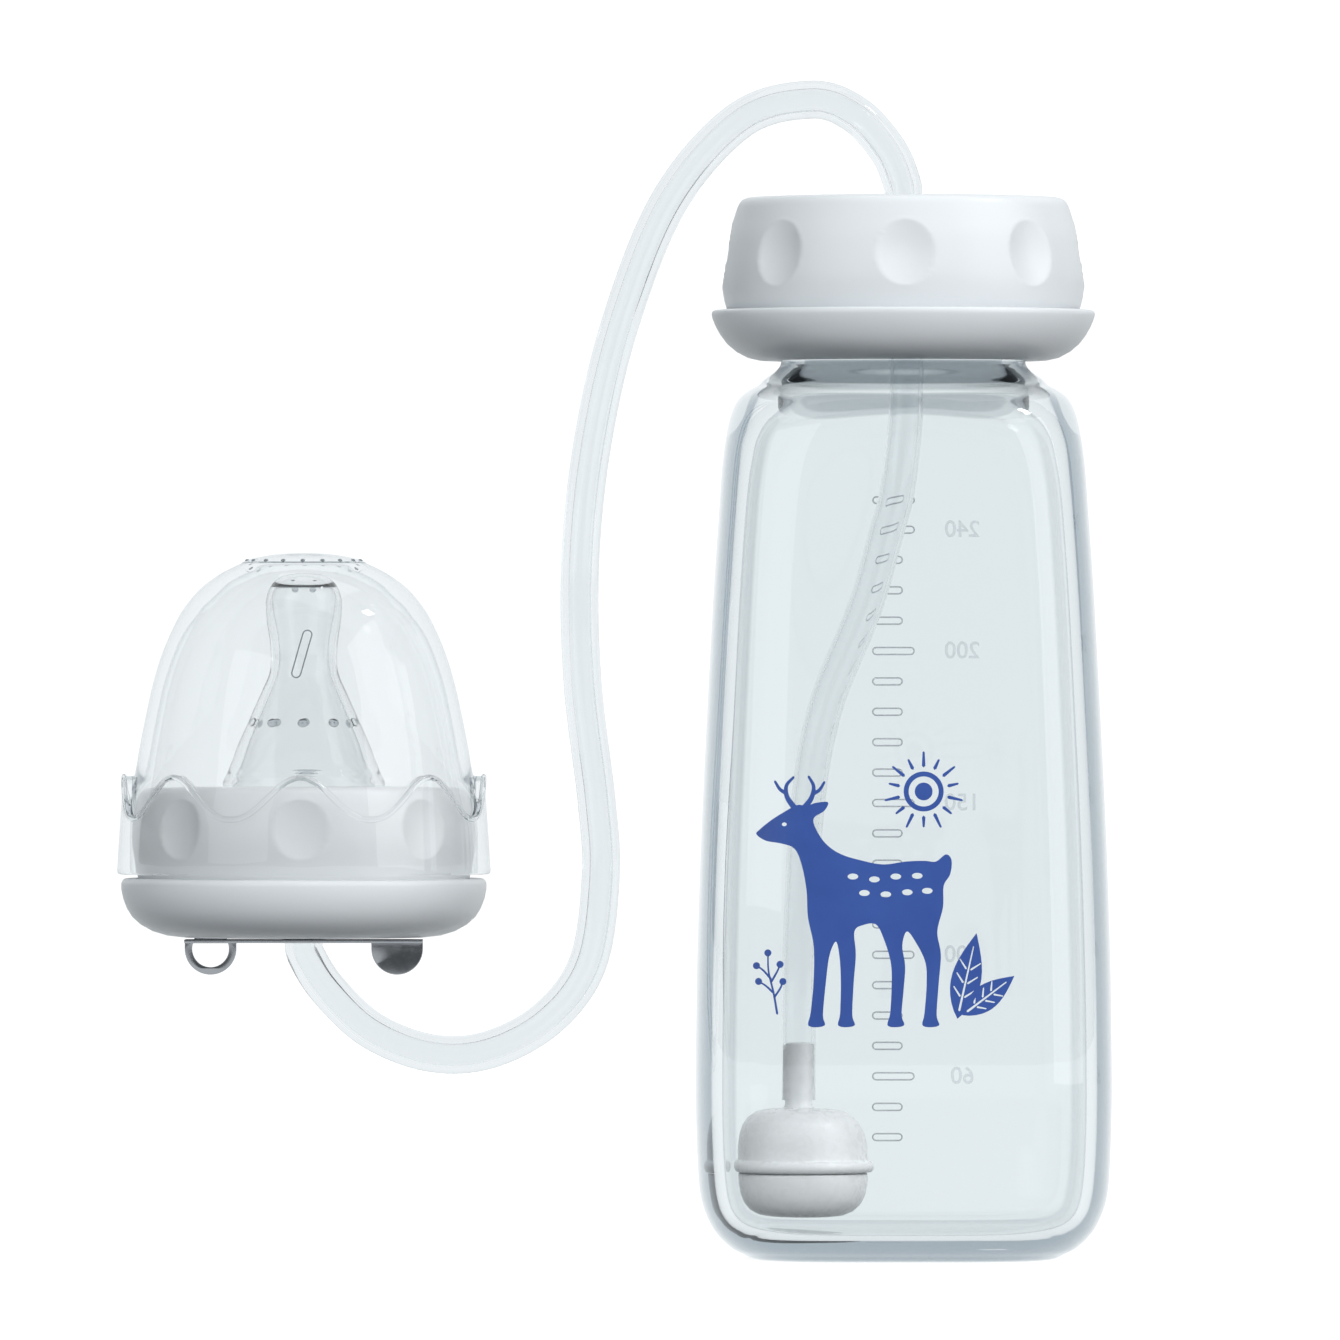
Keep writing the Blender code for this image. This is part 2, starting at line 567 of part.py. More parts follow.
def cover(material, parts):
    """Soft clear cover: thick scalloped skirt below and a plain dome above."""
    def ring(height_of, radius_of):
        points = []
        for i in range(LOFT_SIDES):
            angle = 2 * math.pi * i / LOFT_SIDES
            wave = 0.5 + 0.5 * math.cos(DIMPLES * angle)
            height = height_of(wave)
            radius = radius_of(height)
            points.append((radius * math.cos(angle), radius * math.sin(angle), height))
        return points

    def level(height, radius):
        return ring(lambda wave: height, lambda z: radius)

    def edge(wave):
        return COVER_VALLEY_Z + (COVER_CREST_Z - COVER_VALLEY_Z) * wave ** 0.8

    def skirt(height):
        return 26.5 - 0.065 * (height - COVER_BOTTOM_Z)

    def layer(height):
        return 25.3 - 0.22 * (height - COVER_VALLEY_Z)

    rings = [
        level(98.2, 0.6), level(98.1, 7.0), level(96.6, 9.4), level(94.6, 12.0), level(91.5, 15.1),
        level(87.6, 17.6), level(82.0, 19.7), level(76.0, 21.0), level(70.0, 22.1), level(67.8, 22.4),
        level(66.0, 24.0), level(64.0, 24.3), level(61.6, 24.65), level(COVER_BOTTOM_Z + 0.4, 24.65),
        level(COVER_BOTTOM_Z, 25.0), level(COVER_BOTTOM_Z, 26.1), level(COVER_BOTTOM_Z + 0.4, skirt(COVER_BOTTOM_Z)),
        ring(lambda wave: edge(wave) - 0.5, skirt),
        ring(lambda wave: edge(wave), lambda z: skirt(z) - 0.45),
        ring(lambda wave: edge(wave) + 0.15, layer),
        level(69.2, 23.75), level(73.0, 23.15), level(78.0, 22.15), level(83.0, 20.9), level(87.5, 19.3),
        level(90.8, 17.75), level(94.0, 15.3), level(96.6, 12.3), level(98.3, 9.3), level(99.2, 6.0),
        level(COVER_TOP_Z, 1.0),
    ]
    return loft("cover", rings, material, parts, x=UNIT_X)


def build():
    clear_scene()
    parts = make_collection("feeding_bottle")
    cutters = make_collection("cutters")
    glass = make_material("clear_glass", (0.90, 0.92, 0.93), 0.02, 0.0, 0.35)
    white = make_material("white_plastic", (0.86, 0.88, 0.90), 0.3)
    silicone = make_material("clear_silicone", (0.84, 0.86, 0.88), 0.25, 0.0, 0.5)
    seal = make_material("white_silicone", (0.80, 0.82, 0.84), 0.5)
    steel = make_material("polished_steel", (0.35, 0.36, 0.38), 0.18, 1.0)

    pieces = [
        bottle_body(glass, parts, cutters),
        cap_saucer(white, parts),
        cap_collar(white, parts, cutters),
        cap_disc(white, parts, cutters),
        cap_gasket(seal, parts),
        cap_vent(seal, parts),
        cap_fitting(white, parts),
        straw_socket(seal, parts),
        straw(silicone, parts, cutters),
        weight_upper(white, parts),
        weight_lower(white, parts),
        weight_ballast(steel, parts),
        outer_tube(silicone, parts),
        base_saucer(white, parts, cutters),
        lug_plate(steel, parts, cutters),
        base_fitting(white, parts),
        valve_seat(white, parts, cutters),
        valve_flap(seal, parts),
        teat(silicone, parts),
        teat_collar(white, parts, cutters),
        cover(silicone, parts),
    ]
    for piece in pieces:
        shade(piece)


build()
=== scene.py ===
import math

import bmesh
import bpy
from mathutils import Matrix, Vector


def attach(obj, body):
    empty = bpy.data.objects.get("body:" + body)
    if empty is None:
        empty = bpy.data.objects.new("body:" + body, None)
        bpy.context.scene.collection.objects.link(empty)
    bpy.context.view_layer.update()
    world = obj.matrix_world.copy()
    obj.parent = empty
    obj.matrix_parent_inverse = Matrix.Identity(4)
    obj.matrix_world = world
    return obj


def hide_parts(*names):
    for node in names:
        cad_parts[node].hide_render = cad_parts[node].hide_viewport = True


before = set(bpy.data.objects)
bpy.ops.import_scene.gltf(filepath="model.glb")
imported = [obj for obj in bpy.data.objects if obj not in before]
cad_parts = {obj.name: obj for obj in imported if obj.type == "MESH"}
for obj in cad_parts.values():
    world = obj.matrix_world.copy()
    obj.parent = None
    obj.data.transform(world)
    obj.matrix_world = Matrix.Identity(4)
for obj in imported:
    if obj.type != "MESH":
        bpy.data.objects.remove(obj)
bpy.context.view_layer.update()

# Studio: the bottle stands on a seamless pale sweep in a bright tent. A long lens at
# half the bottle's height looks straight at its front.
MM = 0.001
VIEW_CENTRE = Vector((-33.0, 0.0, 83.2)) * MM
VIEW_WIDTH = 189.6 * MM
CAMERA_DISTANCE = 2.6
SENSOR = 36.0

camera_data = bpy.data.cameras.new("long_lens")
camera_data.sensor_width = SENSOR
camera_data.lens = SENSOR * CAMERA_DISTANCE / VIEW_WIDTH
camera = bpy.data.objects.new("long_lens", camera_data)
camera.location = VIEW_CENTRE - Vector((0.0, CAMERA_DISTANCE, 0.0))
camera.rotation_euler = (math.radians(90), 0.0, 0.0)
bpy.context.collection.objects.link(camera)
bpy.context.scene.camera = camera


def new_piece(name, data):
    piece = bpy.data.objects.new(name, data)
    bpy.context.collection.objects.link(piece)
    return piece


def softbox(name, place, aim, width, height, power, colour=(1.0, 1.0, 1.0)):
    """A flat lamp at place, facing aim."""
    lamp = bpy.data.lights.new(name, "AREA")
    lamp.shape = "RECTANGLE"
    lamp.size = width
    lamp.size_y = height
    lamp.energy = power
    lamp.color = colour
    holder = new_piece(name, lamp)
    holder.location = place
    holder.rotation_euler = (Vector(aim) - Vector(place)).to_track_quat("-Z", "Y").to_euler()
    return holder


middle = VIEW_CENTRE
front_window = softbox("front_window", (0.35, -1.9, 0.95), middle, 1.3, 0.8, 26.0)
front_window.visible_glossy = False
front_window.visible_transmission = False
softbox("right_window", (1.0, -0.42, 0.40), middle, 0.98, 1.3, 5.2)
softbox("left_window", (-0.84, -0.89, 0.5), middle, 0.9, 0.8, 2.2, (0.95, 0.98, 1.0))
softbox("top_light", (0.0, 0.1, 1.3), middle, 0.9, 0.9, 2.0)
back_fill = softbox("back_fill", (-0.4, 1.8, 0.9), middle, 1.2, 0.9, 11.0)
back_fill.visible_camera = False
back_fill.visible_glossy = False
back_fill.visible_transmission = False
softbox("glint_light", (0.72, -0.07, 1.03), middle, 0.16, 0.16, 1.2)


def computed(tree, operation, *values):
    """A step of arithmetic; each value is a number or another node's output."""
    step = tree.nodes.new("ShaderNodeMath")
    step.operation = operation
    for socket, value in zip(step.inputs, values):
        if isinstance(value, (int, float)):
            socket.default_value = value
        else:
            tree.links.new(value, socket)
    return step.outputs["Value"]


def ranged(tree, value, low, high, first=0.0, last=1.0, blend="LINEAR"):
    """Turns a value between low and high into one between first and last."""
    step = tree.nodes.new("ShaderNodeMapRange")
    step.interpolation_type = blend
    for socket, number in zip(("From Min", "From Max", "To Min", "To Max"), (low, high, first, last)):
        step.inputs[socket].default_value = number
    tree.links.new(value, step.inputs["Value"])
    return step.outputs["Result"]


def blended(tree, share, first, second):
    """The first shader where share is 0, and the second where it is 1."""
    mix = tree.nodes.new("ShaderNodeMixShader")
    for socket, source in zip(mix.inputs, (share, first, second)):
        tree.links.new(source, socket)
    return mix.outputs["Shader"]


def shaded(tree, share, first, second):
    """A colour between first and second; each colour is a number triple or an output."""
    mix = tree.nodes.new("ShaderNodeMix")
    mix.data_type = "RGBA"
    tree.links.new(share, mix.inputs[0])
    for socket, colour in ((mix.inputs[6], first), (mix.inputs[7], second)):
        if isinstance(colour, tuple):
            socket.default_value = (*colour, 1.0)
        else:
            tree.links.new(colour, socket)
    return mix.outputs[2]


def looked_through(tree, in_mirrors):
    """1 where the surroundings are seen through a clear piece, or mirrored in one when asked,
    and 0 where they only light something."""
    path = tree.nodes.new("ShaderNodeLightPath")
    mirror = path.outputs["Is Glossy Ray"] if in_mirrors else 0.0
    polished = computed(tree, "MAXIMUM", path.outputs["Is Transmission Ray"], mirror)
    unlit = computed(tree, "LESS_THAN", path.outputs["Diffuse Depth"], 0.5)
    return computed(tree, "MULTIPLY", polished, unlit)


def sky(tree, colour, strength):
    background = tree.nodes.new("ShaderNodeBackground")
    background.inputs["Color"].default_value = (*colour, 1.0)
    background.inputs["Strength"].default_value = strength
    return background.outputs["Background"]


world = bpy.data.worlds.new("tent")
world.use_nodes = True
bpy.context.scene.world = world
tent = world.node_tree
tent.nodes.remove(tent.nodes["Background"])
tent_path = tent.nodes.new("ShaderNodeLightPath")
around = sky(tent, (0.90, 0.96, 1.0), 0.36)
beyond = sky(tent, (0.90, 0.95, 0.98), 0.55)
mirrored_tent = sky(tent, (0.90, 0.95, 0.98), 0.16)
tent_light = blended(tent, looked_through(tent, False), around, beyond)
tent_light = blended(tent, tent_path.outputs["Is Glossy Ray"], tent_light, mirrored_tent)
tent_light = blended(tent, tent_path.outputs["Is Camera Ray"], tent_light, sky(tent, (1.0, 1.0, 0.992), 1.0))
tent.links.new(tent_light, tent.nodes["World Output"].inputs["Surface"])
bpy.context.scene.view_settings.view_transform = "Standard"

SWEEP_HALF_WIDTH = 5.0
SWEEP_FRONT = -4.5
SWEEP_BEND = 2.5
SWEEP_RADIUS = 1.0
SWEEP_TOP = 5.0
SWEEP_GAP = 0.3 * MM
sweep_line = [(SWEEP_FRONT, 0.0), (SWEEP_BEND, 0.0)]
for step in range(1, 13):
    turn = math.radians(90) * step / 12
    sweep_line.append((SWEEP_BEND + SWEEP_RADIUS * math.sin(turn), SWEEP_RADIUS * (1 - math.cos(turn))))
sweep_line.append((SWEEP_BEND + SWEEP_RADIUS, SWEEP_TOP))
sweep_mesh = bpy.data.meshes.new("sweep")
sweep_points = [(side * SWEEP_HALF_WIDTH, y, z) for y, z in sweep_line for side in (-1, 1)]
sweep_faces = [(2 * i, 2 * i + 1, 2 * i + 3, 2 * i + 2) for i in range(len(sweep_line) - 1)]
sweep_mesh.from_pydata(sweep_points, [], sweep_faces)
sweep_mesh.shade_smooth()
sweep = new_piece("sweep", sweep_mesh)


def sweep_paper():
    """Bright paper where it is looked at or seen through clear pieces, but a dim grey where
    it only lights the object, so that the undersides keep their shade."""
    material = bpy.data.materials.new("sweep_paper")
    material.use_nodes = True
    tree = material.node_tree
    bright = tree.nodes["Principled BSDF"]
    bright.inputs["Base Color"].default_value = (0.4, 0.4, 0.395, 1.0)
    bright.inputs["Roughness"].default_value = 0.9
    bright.inputs["Emission Color"].default_value = (1.0, 1.0, 0.992, 1.0)
    where = tree.nodes.new("ShaderNodeNewGeometry")
    split = tree.nodes.new("ShaderNodeSeparateXYZ")
    tree.links.new(where.outputs["Position"], split.inputs[0])
    glow = ranged(tree, split.outputs["Y"], 0.0, 0.9, 0.8, 0.97)
    tree.links.new(glow, bright.inputs["Emission Strength"])
    dim = tree.nodes.new("ShaderNodeBsdfDiffuse")
    dim.inputs["Color"].default_value = (0.10, 0.106, 0.112, 1.0)
    behind = tree.nodes.new("ShaderNodeEmission")
    behind.inputs["Color"].default_value = (0.92, 0.965, 0.985, 1.0)
    behind.inputs["Strength"].default_value = 0.97
    path = tree.nodes.new("ShaderNodeLightPath")
    paper = blended(tree, path.outputs["Is Camera Ray"], dim.outputs["BSDF"], bright.outputs["BSDF"])
    paper = blended(tree, looked_through(tree, True), paper, behind.outputs["Emission"])
    tree.links.new(paper, tree.nodes["Material Output"].inputs["Surface"])
    return material


sweep_mesh.materials.append(sweep_paper())
sweep.location.z = -SWEEP_GAP

# Hose: a length of clear soft silicone tube, pushed on the nipple in the cap, arching over
# and round to the nipple under the teat unit. Seen end to end, so nothing is coiled away.
HOSE_ROUTE = (
    (0.0, 0.1503), (-0.0002, 0.1522), (-0.0022, 0.1568), (-0.0069, 0.1619), (-0.0132, 0.1639),
    (-0.0231, 0.1610), (-0.0330, 0.1497), (-0.0399, 0.1327), (-0.0439, 0.1157), (-0.0457, 0.0988),
    (-0.0454, 0.0818), (-0.0434, 0.0648), (-0.0428, 0.0542), (-0.0446, 0.0418), (-0.0502, 0.0340),
    (-0.0585, 0.0295), (-0.0668, 0.0290), (-0.0752, 0.0322), (-0.0814, 0.0380), (-0.0845, 0.0429),
    (-0.0848, 0.0448),
)
HOSE_RADIUS = 2.7 * MM
HOSE_BORE = 1.55 * MM
HOSE_RINGS = 220


def stretches(padded, per):
    """Points of a smooth curve through all but the first and last of the given ones."""
    curve = []
    for a, b, c, d in zip(padded, padded[1:], padded[2:], padded[3:]):
        for step in range(per):
            t = step / per
            curve.append(0.5 * (2 * b + (c - a) * t + (2 * a - 5 * b + 4 * c - d) * t ** 2
                                + (3 * b - a - 3 * c + d) * t ** 3))
    return curve


def smooth_through(points, per):
    """Points of a smooth curve that passes through the given ones, per of them a stretch."""
    points = [Vector(point) for point in points]
    padded = [2 * points[0] - points[1], *points, 2 * points[-1] - points[-2]]
    return [*stretches(padded, per), points[-1]]


def evenly(points, count):
    """The same line with count points at equal distances."""
    reached = [0.0]
    for first, second in zip(points, points[1:]):
        reached.append(reached[-1] + (second - first).length)
    even = []
    index = 0
    for i in range(count):
        target = reached[-1] * i / (count - 1)
        while index < len(reached) - 2 and reached[index + 1] < target:
            index += 1
        share = (target - reached[index]) / (reached[index + 1] - reached[index])
        even.append(points[index].lerp(points[index + 1], share))
    return even


def finished(name, bm, material):
    """Turns a built-up skin into a smooth piece with its sharp edges kept."""
    bmesh.ops.recalc_face_normals(bm, faces=bm.faces)
    mesh = bpy.data.meshes.new(name)
    bm.to_mesh(mesh)
    bm.free()
    mesh.shade_smooth()
    mesh.set_sharp_from_angle(angle=math.radians(45))
    mesh.materials.append(material)
    return new_piece(name, mesh)


def skin(name, rows, material, loop=False):
    """A closed skin through rows of points in metres. loop joins the last row to the first;
    otherwise the end rows are filled flat."""
    bm = bmesh.new()
    rings = [[bm.verts.new(point) for point in row] for row in rows]
    if loop:
        rings.append(rings[0])
    count = len(rings[0])
    for near, far in zip(rings, rings[1:]):
        for i in range(count):
            j = (i + 1) % count
            bm.faces.new((near[i], near[j], far[j], far[i]))
    if not loop:
        bm.faces.new(rings[0])
        bm.faces.new(rings[-1])
    return finished(name, bm, material)


def tube_rows(spine, radius, sides):
    """Rings of points round a line that lies in the plane Y = 0."""
    rows = []
    across = Vector((0.0, 1.0, 0.0))
    for i, point in enumerate(spine):
        along = (spine[min(i + 1, len(spine) - 1)] - spine[max(i - 1, 0)]).normalized()
        up = along.cross(across)
        row = []
        for side in range(sides):
            angle = 2 * math.pi * side / sides
            row.append(point + radius * (math.cos(angle) * across + math.sin(angle) * up))
        rows.append(row)
    return rows


def hollow_tube(name, spine, radius, bore, sides, material):
    outside = tube_rows(spine, radius, sides)
    inside = tube_rows(list(reversed(spine)), bore, sides)
    inside = [list(reversed(row)) for row in inside]
    half = sides // 2
    inside = [row[half - 1:] + row[:half - 1] for row in inside]
    return skin(name, outside + inside, material, loop=True)


def cloudy_tone_group():
    """Slow drift of tone and fine mottling, for moulded and drawn surfaces."""
    group = bpy.data.node_groups.new("cloudy_tone", "ShaderNodeTree")
    face = group.interface
    for socket in ("Light", "Dark"):
        face.new_socket(socket, in_out="INPUT", socket_type="NodeSocketColor")
    for socket in ("Cloud Scale", "Grain Scale", "Smoothest", "Roughest"):
        face.new_socket(socket, in_out="INPUT", socket_type="NodeSocketFloat")
    face.new_socket("Color", in_out="OUTPUT", socket_type="NodeSocketColor")
    for socket in ("Roughness", "Height"):
        face.new_socket(socket, in_out="OUTPUT", socket_type="NodeSocketFloat")
    nodes = group.nodes
    links = group.links
    inlet = nodes.new("NodeGroupInput")
    outlet = nodes.new("NodeGroupOutput")
    where = nodes.new("ShaderNodeTexCoord")
    cloud = nodes.new("ShaderNodeTexNoise")
    cloud.inputs["Detail"].default_value = 3.0
    grain = nodes.new("ShaderNodeTexNoise")
    grain.inputs["Detail"].default_value = 4.0
    grain.inputs["Roughness"].default_value = 0.6
    blend = nodes.new("ShaderNodeMix")
    blend.data_type = "RGBA"
    polish = nodes.new("ShaderNodeMapRange")
    polish.inputs["From Min"].default_value = 0.3
    polish.inputs["From Max"].default_value = 0.7
    links.new(where.outputs["Object"], cloud.inputs["Vector"])
    links.new(where.outputs["Object"], grain.inputs["Vector"])
    links.new(inlet.outputs["Cloud Scale"], cloud.inputs["Scale"])
    links.new(inlet.outputs["Grain Scale"], grain.inputs["Scale"])
    links.new(cloud.outputs["Fac"], blend.inputs["Factor"])
    links.new(inlet.outputs["Dark"], blend.inputs["A"])
    links.new(inlet.outputs["Light"], blend.inputs["B"])
    links.new(grain.outputs["Fac"], polish.inputs["Value"])
    links.new(inlet.outputs["Smoothest"], polish.inputs["To Min"])
    links.new(inlet.outputs["Roughest"], polish.inputs["To Max"])
    links.new(blend.outputs["Result"], outlet.inputs["Color"])
    links.new(polish.outputs["Result"], outlet.inputs["Roughness"])
    links.new(grain.outputs["Fac"], outlet.inputs["Height"])
    return group


cloudy_tone = cloudy_tone_group()


def toned_material(name, light, dark, cloud_scale, grain_scale, smoothest, roughest, relief):
    """A material whose colour, polish and relief come from the cloudy tone group."""
    material = bpy.data.materials.new(name)
    material.use_nodes = True
    nodes = material.node_tree.nodes
    links = material.node_tree.links
    shader = nodes["Principled BSDF"]
    tone = nodes.new("ShaderNodeGroup")
    tone.node_tree = cloudy_tone
    tone.inputs["Light"].default_value = (*light, 1.0)
    tone.inputs["Dark"].default_value = (*dark, 1.0)
    tone.inputs["Cloud Scale"].default_value = cloud_scale
    tone.inputs["Grain Scale"].default_value = grain_scale
    tone.inputs["Smoothest"].default_value = smoothest
    tone.inputs["Roughest"].default_value = roughest
    bump = nodes.new("ShaderNodeBump")
    bump.inputs["Strength"].default_value = 1.0
    bump.inputs["Distance"].default_value = relief
    links.new(tone.outputs["Color"], shader.inputs["Base Color"])
    links.new(tone.outputs["Height"], bump.inputs["Height"])
    links.new(bump.outputs["Normal"], shader.inputs["Normal"])
    if roughest > smoothest:
        links.new(tone.outputs["Roughness"], shader.inputs["Roughness"])
    else:
        shader.inputs["Roughness"].default_value = smoothest
    return material, shader


DEEP_TURNS = 8.5
MIRRORED_TURNS = 1.5


def clear_material(name, light, dark, scales, roughness, relief, bend, gloss, edge, depth):
    """A clear toned material: bend is how much it turns light, gloss the shine of its skin,
    edge how far it is darkened to a painted shade of dark grey where it is seen edge on. Lamps shine through
    it, and light that has turned often inside it goes straight on, greyed by depth as painted shade."""
    material, shader = toned_material(name, light, dark, *scales, roughness, roughness, relief)
    shader.inputs["Transmission Weight"].default_value = 1.0
    shader.inputs["IOR"].default_value = bend
    shader.inputs["Coat Roughness"].default_value = roughness
    tree = material.node_tree
    where = tree.nodes.new("ShaderNodeNewGeometry")
    coat = ranged(tree, where.outputs["Backfacing"], 0.0, 1.0, gloss, 0.0)
    tree.links.new(coat, shader.inputs["Coat Weight"])
    slant = tree.nodes.new("ShaderNodeLayerWeight")
    slant.inputs["Blend"].default_value = 0.5
    # Painted shade: the colour is darkened towards a dark grey where the surface is seen edge on.
    rim = ranged(tree, slant.outputs["Facing"], 0.72, 0.97, 0.0, edge, "SMOOTHSTEP")
    tone = shader.inputs["Base Color"].links[0].from_socket
    tree.links.new(shaded(tree, rim, tone, (0.22, 0.25, 0.28)), shader.inputs["Base Color"])
    path = tree.nodes.new("ShaderNodeLightPath")
    deep = computed(tree, "GREATER_THAN", path.outputs["Ray Depth"], DEEP_TURNS)
    trapped = computed(tree, "GREATER_THAN", path.outputs["Glossy Depth"], MIRRORED_TURNS)
    lost = computed(tree, "MAXIMUM", deep, trapped)
    straight = computed(tree, "MAXIMUM", path.outputs["Is Shadow Ray"], lost)
    open_skin = tree.nodes.new("ShaderNodeBsdfTransparent")
    # Painted shade: light that has turned often goes on through a grey of strength depth, not followed
    # further; shadow rays pass almost unchanged.
    painted_depth_shade = shaded(tree, lost, (0.99, 0.99, 0.99), (depth, depth * 1.04, depth * 1.07))
    tree.links.new(painted_depth_shade, open_skin.inputs["Color"])
    whole = blended(tree, straight, shader.outputs["BSDF"], open_skin.outputs["BSDF"])
    tree.links.new(whole, tree.nodes["Material Output"].inputs["Surface"])
    return material


hose_silicone = clear_material(
    "hose_silicone", (0.965, 0.972, 0.975), (0.94, 0.95, 0.955), (60.0, 240.0), 0.05, 0.0,
    bend=1.2, gloss=0.5, edge=0.35, depth=0.7)

hose_spine = evenly(smooth_through([(x, 0.0, z) for x, z in HOSE_ROUTE], 24), HOSE_RINGS)
hose = hollow_tube("hose", hose_spine, HOSE_RADIUS, HOSE_BORE, 32, hose_silicone)
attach(hose, "hose")
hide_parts("outer_tube")

# Bottle: heavy clear glass, blown in a rounded-square mould and drawn in to a round
# threaded neck. The volume scale stands proud on its back wall.
NECK_RADIUS = 17.3
BOTTLE_SIDES = 160
THREAD_PITCH = 5.2
BOTTLE_OUTSIDE = (
    (0.0, 20.0, 4.0), (0.25, 21.6, 4.1), (0.85, 22.8, 4.2), (1.7, 24.4, 4.2), (3.4, 26.2, 4.2),
    (5.4, 27.5, 4.2), (8.5, 28.6, 4.2), (12.5, 29.05, 4.2), (21.0, 29.36, 4.2), (30.0, 29.36, 4.2),
    (42.0, 29.15, 4.2), (59.0, 28.6, 4.2), (76.0, 27.8, 4.2), (93.0, 26.9, 4.2), (105.0, 26.1, 4.1),
    (112.0, 25.6, 3.9), (116.5, 25.0, 3.6), (119.5, 24.3, 3.2), (121.5, 23.3, 2.8), (122.7, 21.9, 2.4),
    (123.5, 20.5, 2.1), (124.4, 19.6, 2.0), (125.6, 18.0, 2.0), (126.7, 17.3, 2.0), (129.0, 17.3, 2.0),
    (141.5, 17.3, 2.0), (143.0, 17.2, 2.0), (143.6, 16.6, 2.0),
)
BOTTLE_INSIDE = (
    (143.6, 14.7, 2.0), (143.1, 14.1, 2.0), (141.5, 14.0, 2.0), (128.0, 14.0, 2.0), (125.4, 14.2, 2.0),
    (123.6, 15.4, 2.05), (121.8, 17.6, 2.3), (119.8, 19.6, 2.8), (117.2, 21.1, 3.4), (113.5, 22.1, 3.9),
    (107.0, 22.9, 4.5), (93.0, 23.9, 4.7), (76.0, 24.8, 4.7), (59.0, 25.6, 4.7), (42.0, 26.15, 4.7),
    (30.0, 26.36, 4.7), (20.0, 26.36, 4.7), (12.5, 26.05, 4.7), (8.5, 25.5, 4.7), (6.0, 24.4, 4.7),
    (4.5, 22.8, 4.6), (3.6, 20.4, 4.5), (3.3, 17.0, 4.2),
)


def square_reach(angle, half_width, squareness):
    """Distance from the axis to a rounded square's edge in one direction."""
    across = abs(math.cos(angle)) ** squareness + abs(math.sin(angle)) ** squareness
    return half_width / across ** (1 / squareness)


def square_row(height, half_width, squareness):
    row = []
    for side in range(BOTTLE_SIDES):
        angle = 2 * math.pi * side / BOTTLE_SIDES
        reach = square_reach(angle, half_width, squareness)
        row.append(Vector((reach * math.cos(angle), reach * math.sin(angle), height)) * MM)
    return row


def helix_bead(name, radius, start, turns, bead, material, x=0.0):
    """A rounded thread ridge, half sunk in a round wall and tapered at both ends."""
    steps = int(64 * turns)
    rows = []
    for i in range(steps + 1):
        angle = 2 * math.pi * i / 64
        height = start + THREAD_PITCH * i / 64
        centre = Vector((math.cos(angle) * radius + x, math.sin(angle) * radius, height))
        outward = Vector((math.cos(angle), math.sin(angle), 0.0))
        size = bead * min(1.0, 0.35 + 0.08 * min(i, steps - i))
        row = []
        for side in range(12):
            turn = 2 * math.pi * side / 12
            row.append((centre + size * (math.cos(turn) * outward + Vector((0, 0, math.sin(turn))))) * MM)
        rows.append(row)
    return skin(name, rows, material)


glass = clear_material(
    "bottle_glass", (0.955, 0.969, 0.971), (0.935, 0.953, 0.956), (30.0, 14.0), 0.0, 0.00001,
    bend=1.16, gloss=1.0, edge=0.12, depth=0.75)
# Painted shade: the inner skin below INNER_GLASS_TOP is toned darker and takes strong painted shade where it
# is seen edge on.
inner_glass = clear_material(
    "inner_glass", (0.925, 0.945, 0.948), (0.90, 0.923, 0.928), (30.0, 14.0), 0.0, 0.00001,
    bend=1.16, gloss=0.4, edge=0.85, depth=0.75)


SHOULDER_BAND = (122.5, 126.65)
SHOULDER_BOW = 4.0
SHOULDER_REACH = 20.2
FOOT_BAND = (3.6, 5.4)
# Painted shade: the grey of the shoulder and foot bands.
PAINTED_SHADE_GREY = (0.52, 0.555, 0.575)


def thick_bands(material):
    """Paints shade into the glass as grey bands: round the shoulder, where the shaded underside of the saucer
    shows through, and fainter round the foot.
    The shoulder's band bows up towards its ends."""
    tree = material.node_tree
    shader = tree.nodes["Principled BSDF"]
    place = tree.nodes.new("ShaderNodeTexCoord")
    split = tree.nodes.new("ShaderNodeSeparateXYZ")
    tree.links.new(place.outputs["Object"], split.inputs[0])
    height = split.outputs["Z"]
    low, high = SHOULDER_BAND
    across = computed(tree, "MULTIPLY", split.outputs["X"], 1 / (SHOULDER_REACH * MM))
    aside = computed(tree, "ABSOLUTE", across)
    bow = computed(tree, "POWER", aside, 6.0)
    start = computed(tree, "MULTIPLY_ADD", bow, SHOULDER_BOW * MM, low * MM)
    above = ranged(tree, computed(tree, "SUBTRACT", height, start), -0.2 * MM, 0.2 * MM)
    below = ranged(tree, height, (high - 0.15) * MM, (high + 0.15) * MM, 1.0, 0.0)
    shoulder = computed(tree, "MULTIPLY", above, below)
    foot = ranged(tree, height, FOOT_BAND[1] * MM, FOOT_BAND[0] * MM, 0.0, 0.3)
    tone = shader.inputs["Base Color"].links[0].from_socket
    # Painted shade laid into the glass colour.
    banded = shaded(tree, computed(tree, "MAXIMUM", shoulder, foot), tone, PAINTED_SHADE_GREY)
    tree.links.new(banded, shader.inputs["Base Color"])


thick_bands(glass)

BOTTLE_MIDDLE = 65.0
INNER_GLASS_TOP = 120.5
outer_levels = smooth_through(BOTTLE_OUTSIDE, 5)
inner_levels = smooth_through(BOTTLE_INSIDE, 5)
bottle = skin("bottle", [square_row(*level) for level in outer_levels + inner_levels], glass)
bottle.data.materials.append(inner_glass)
core = Vector((0.0, 0.0, BOTTLE_MIDDLE)) * MM
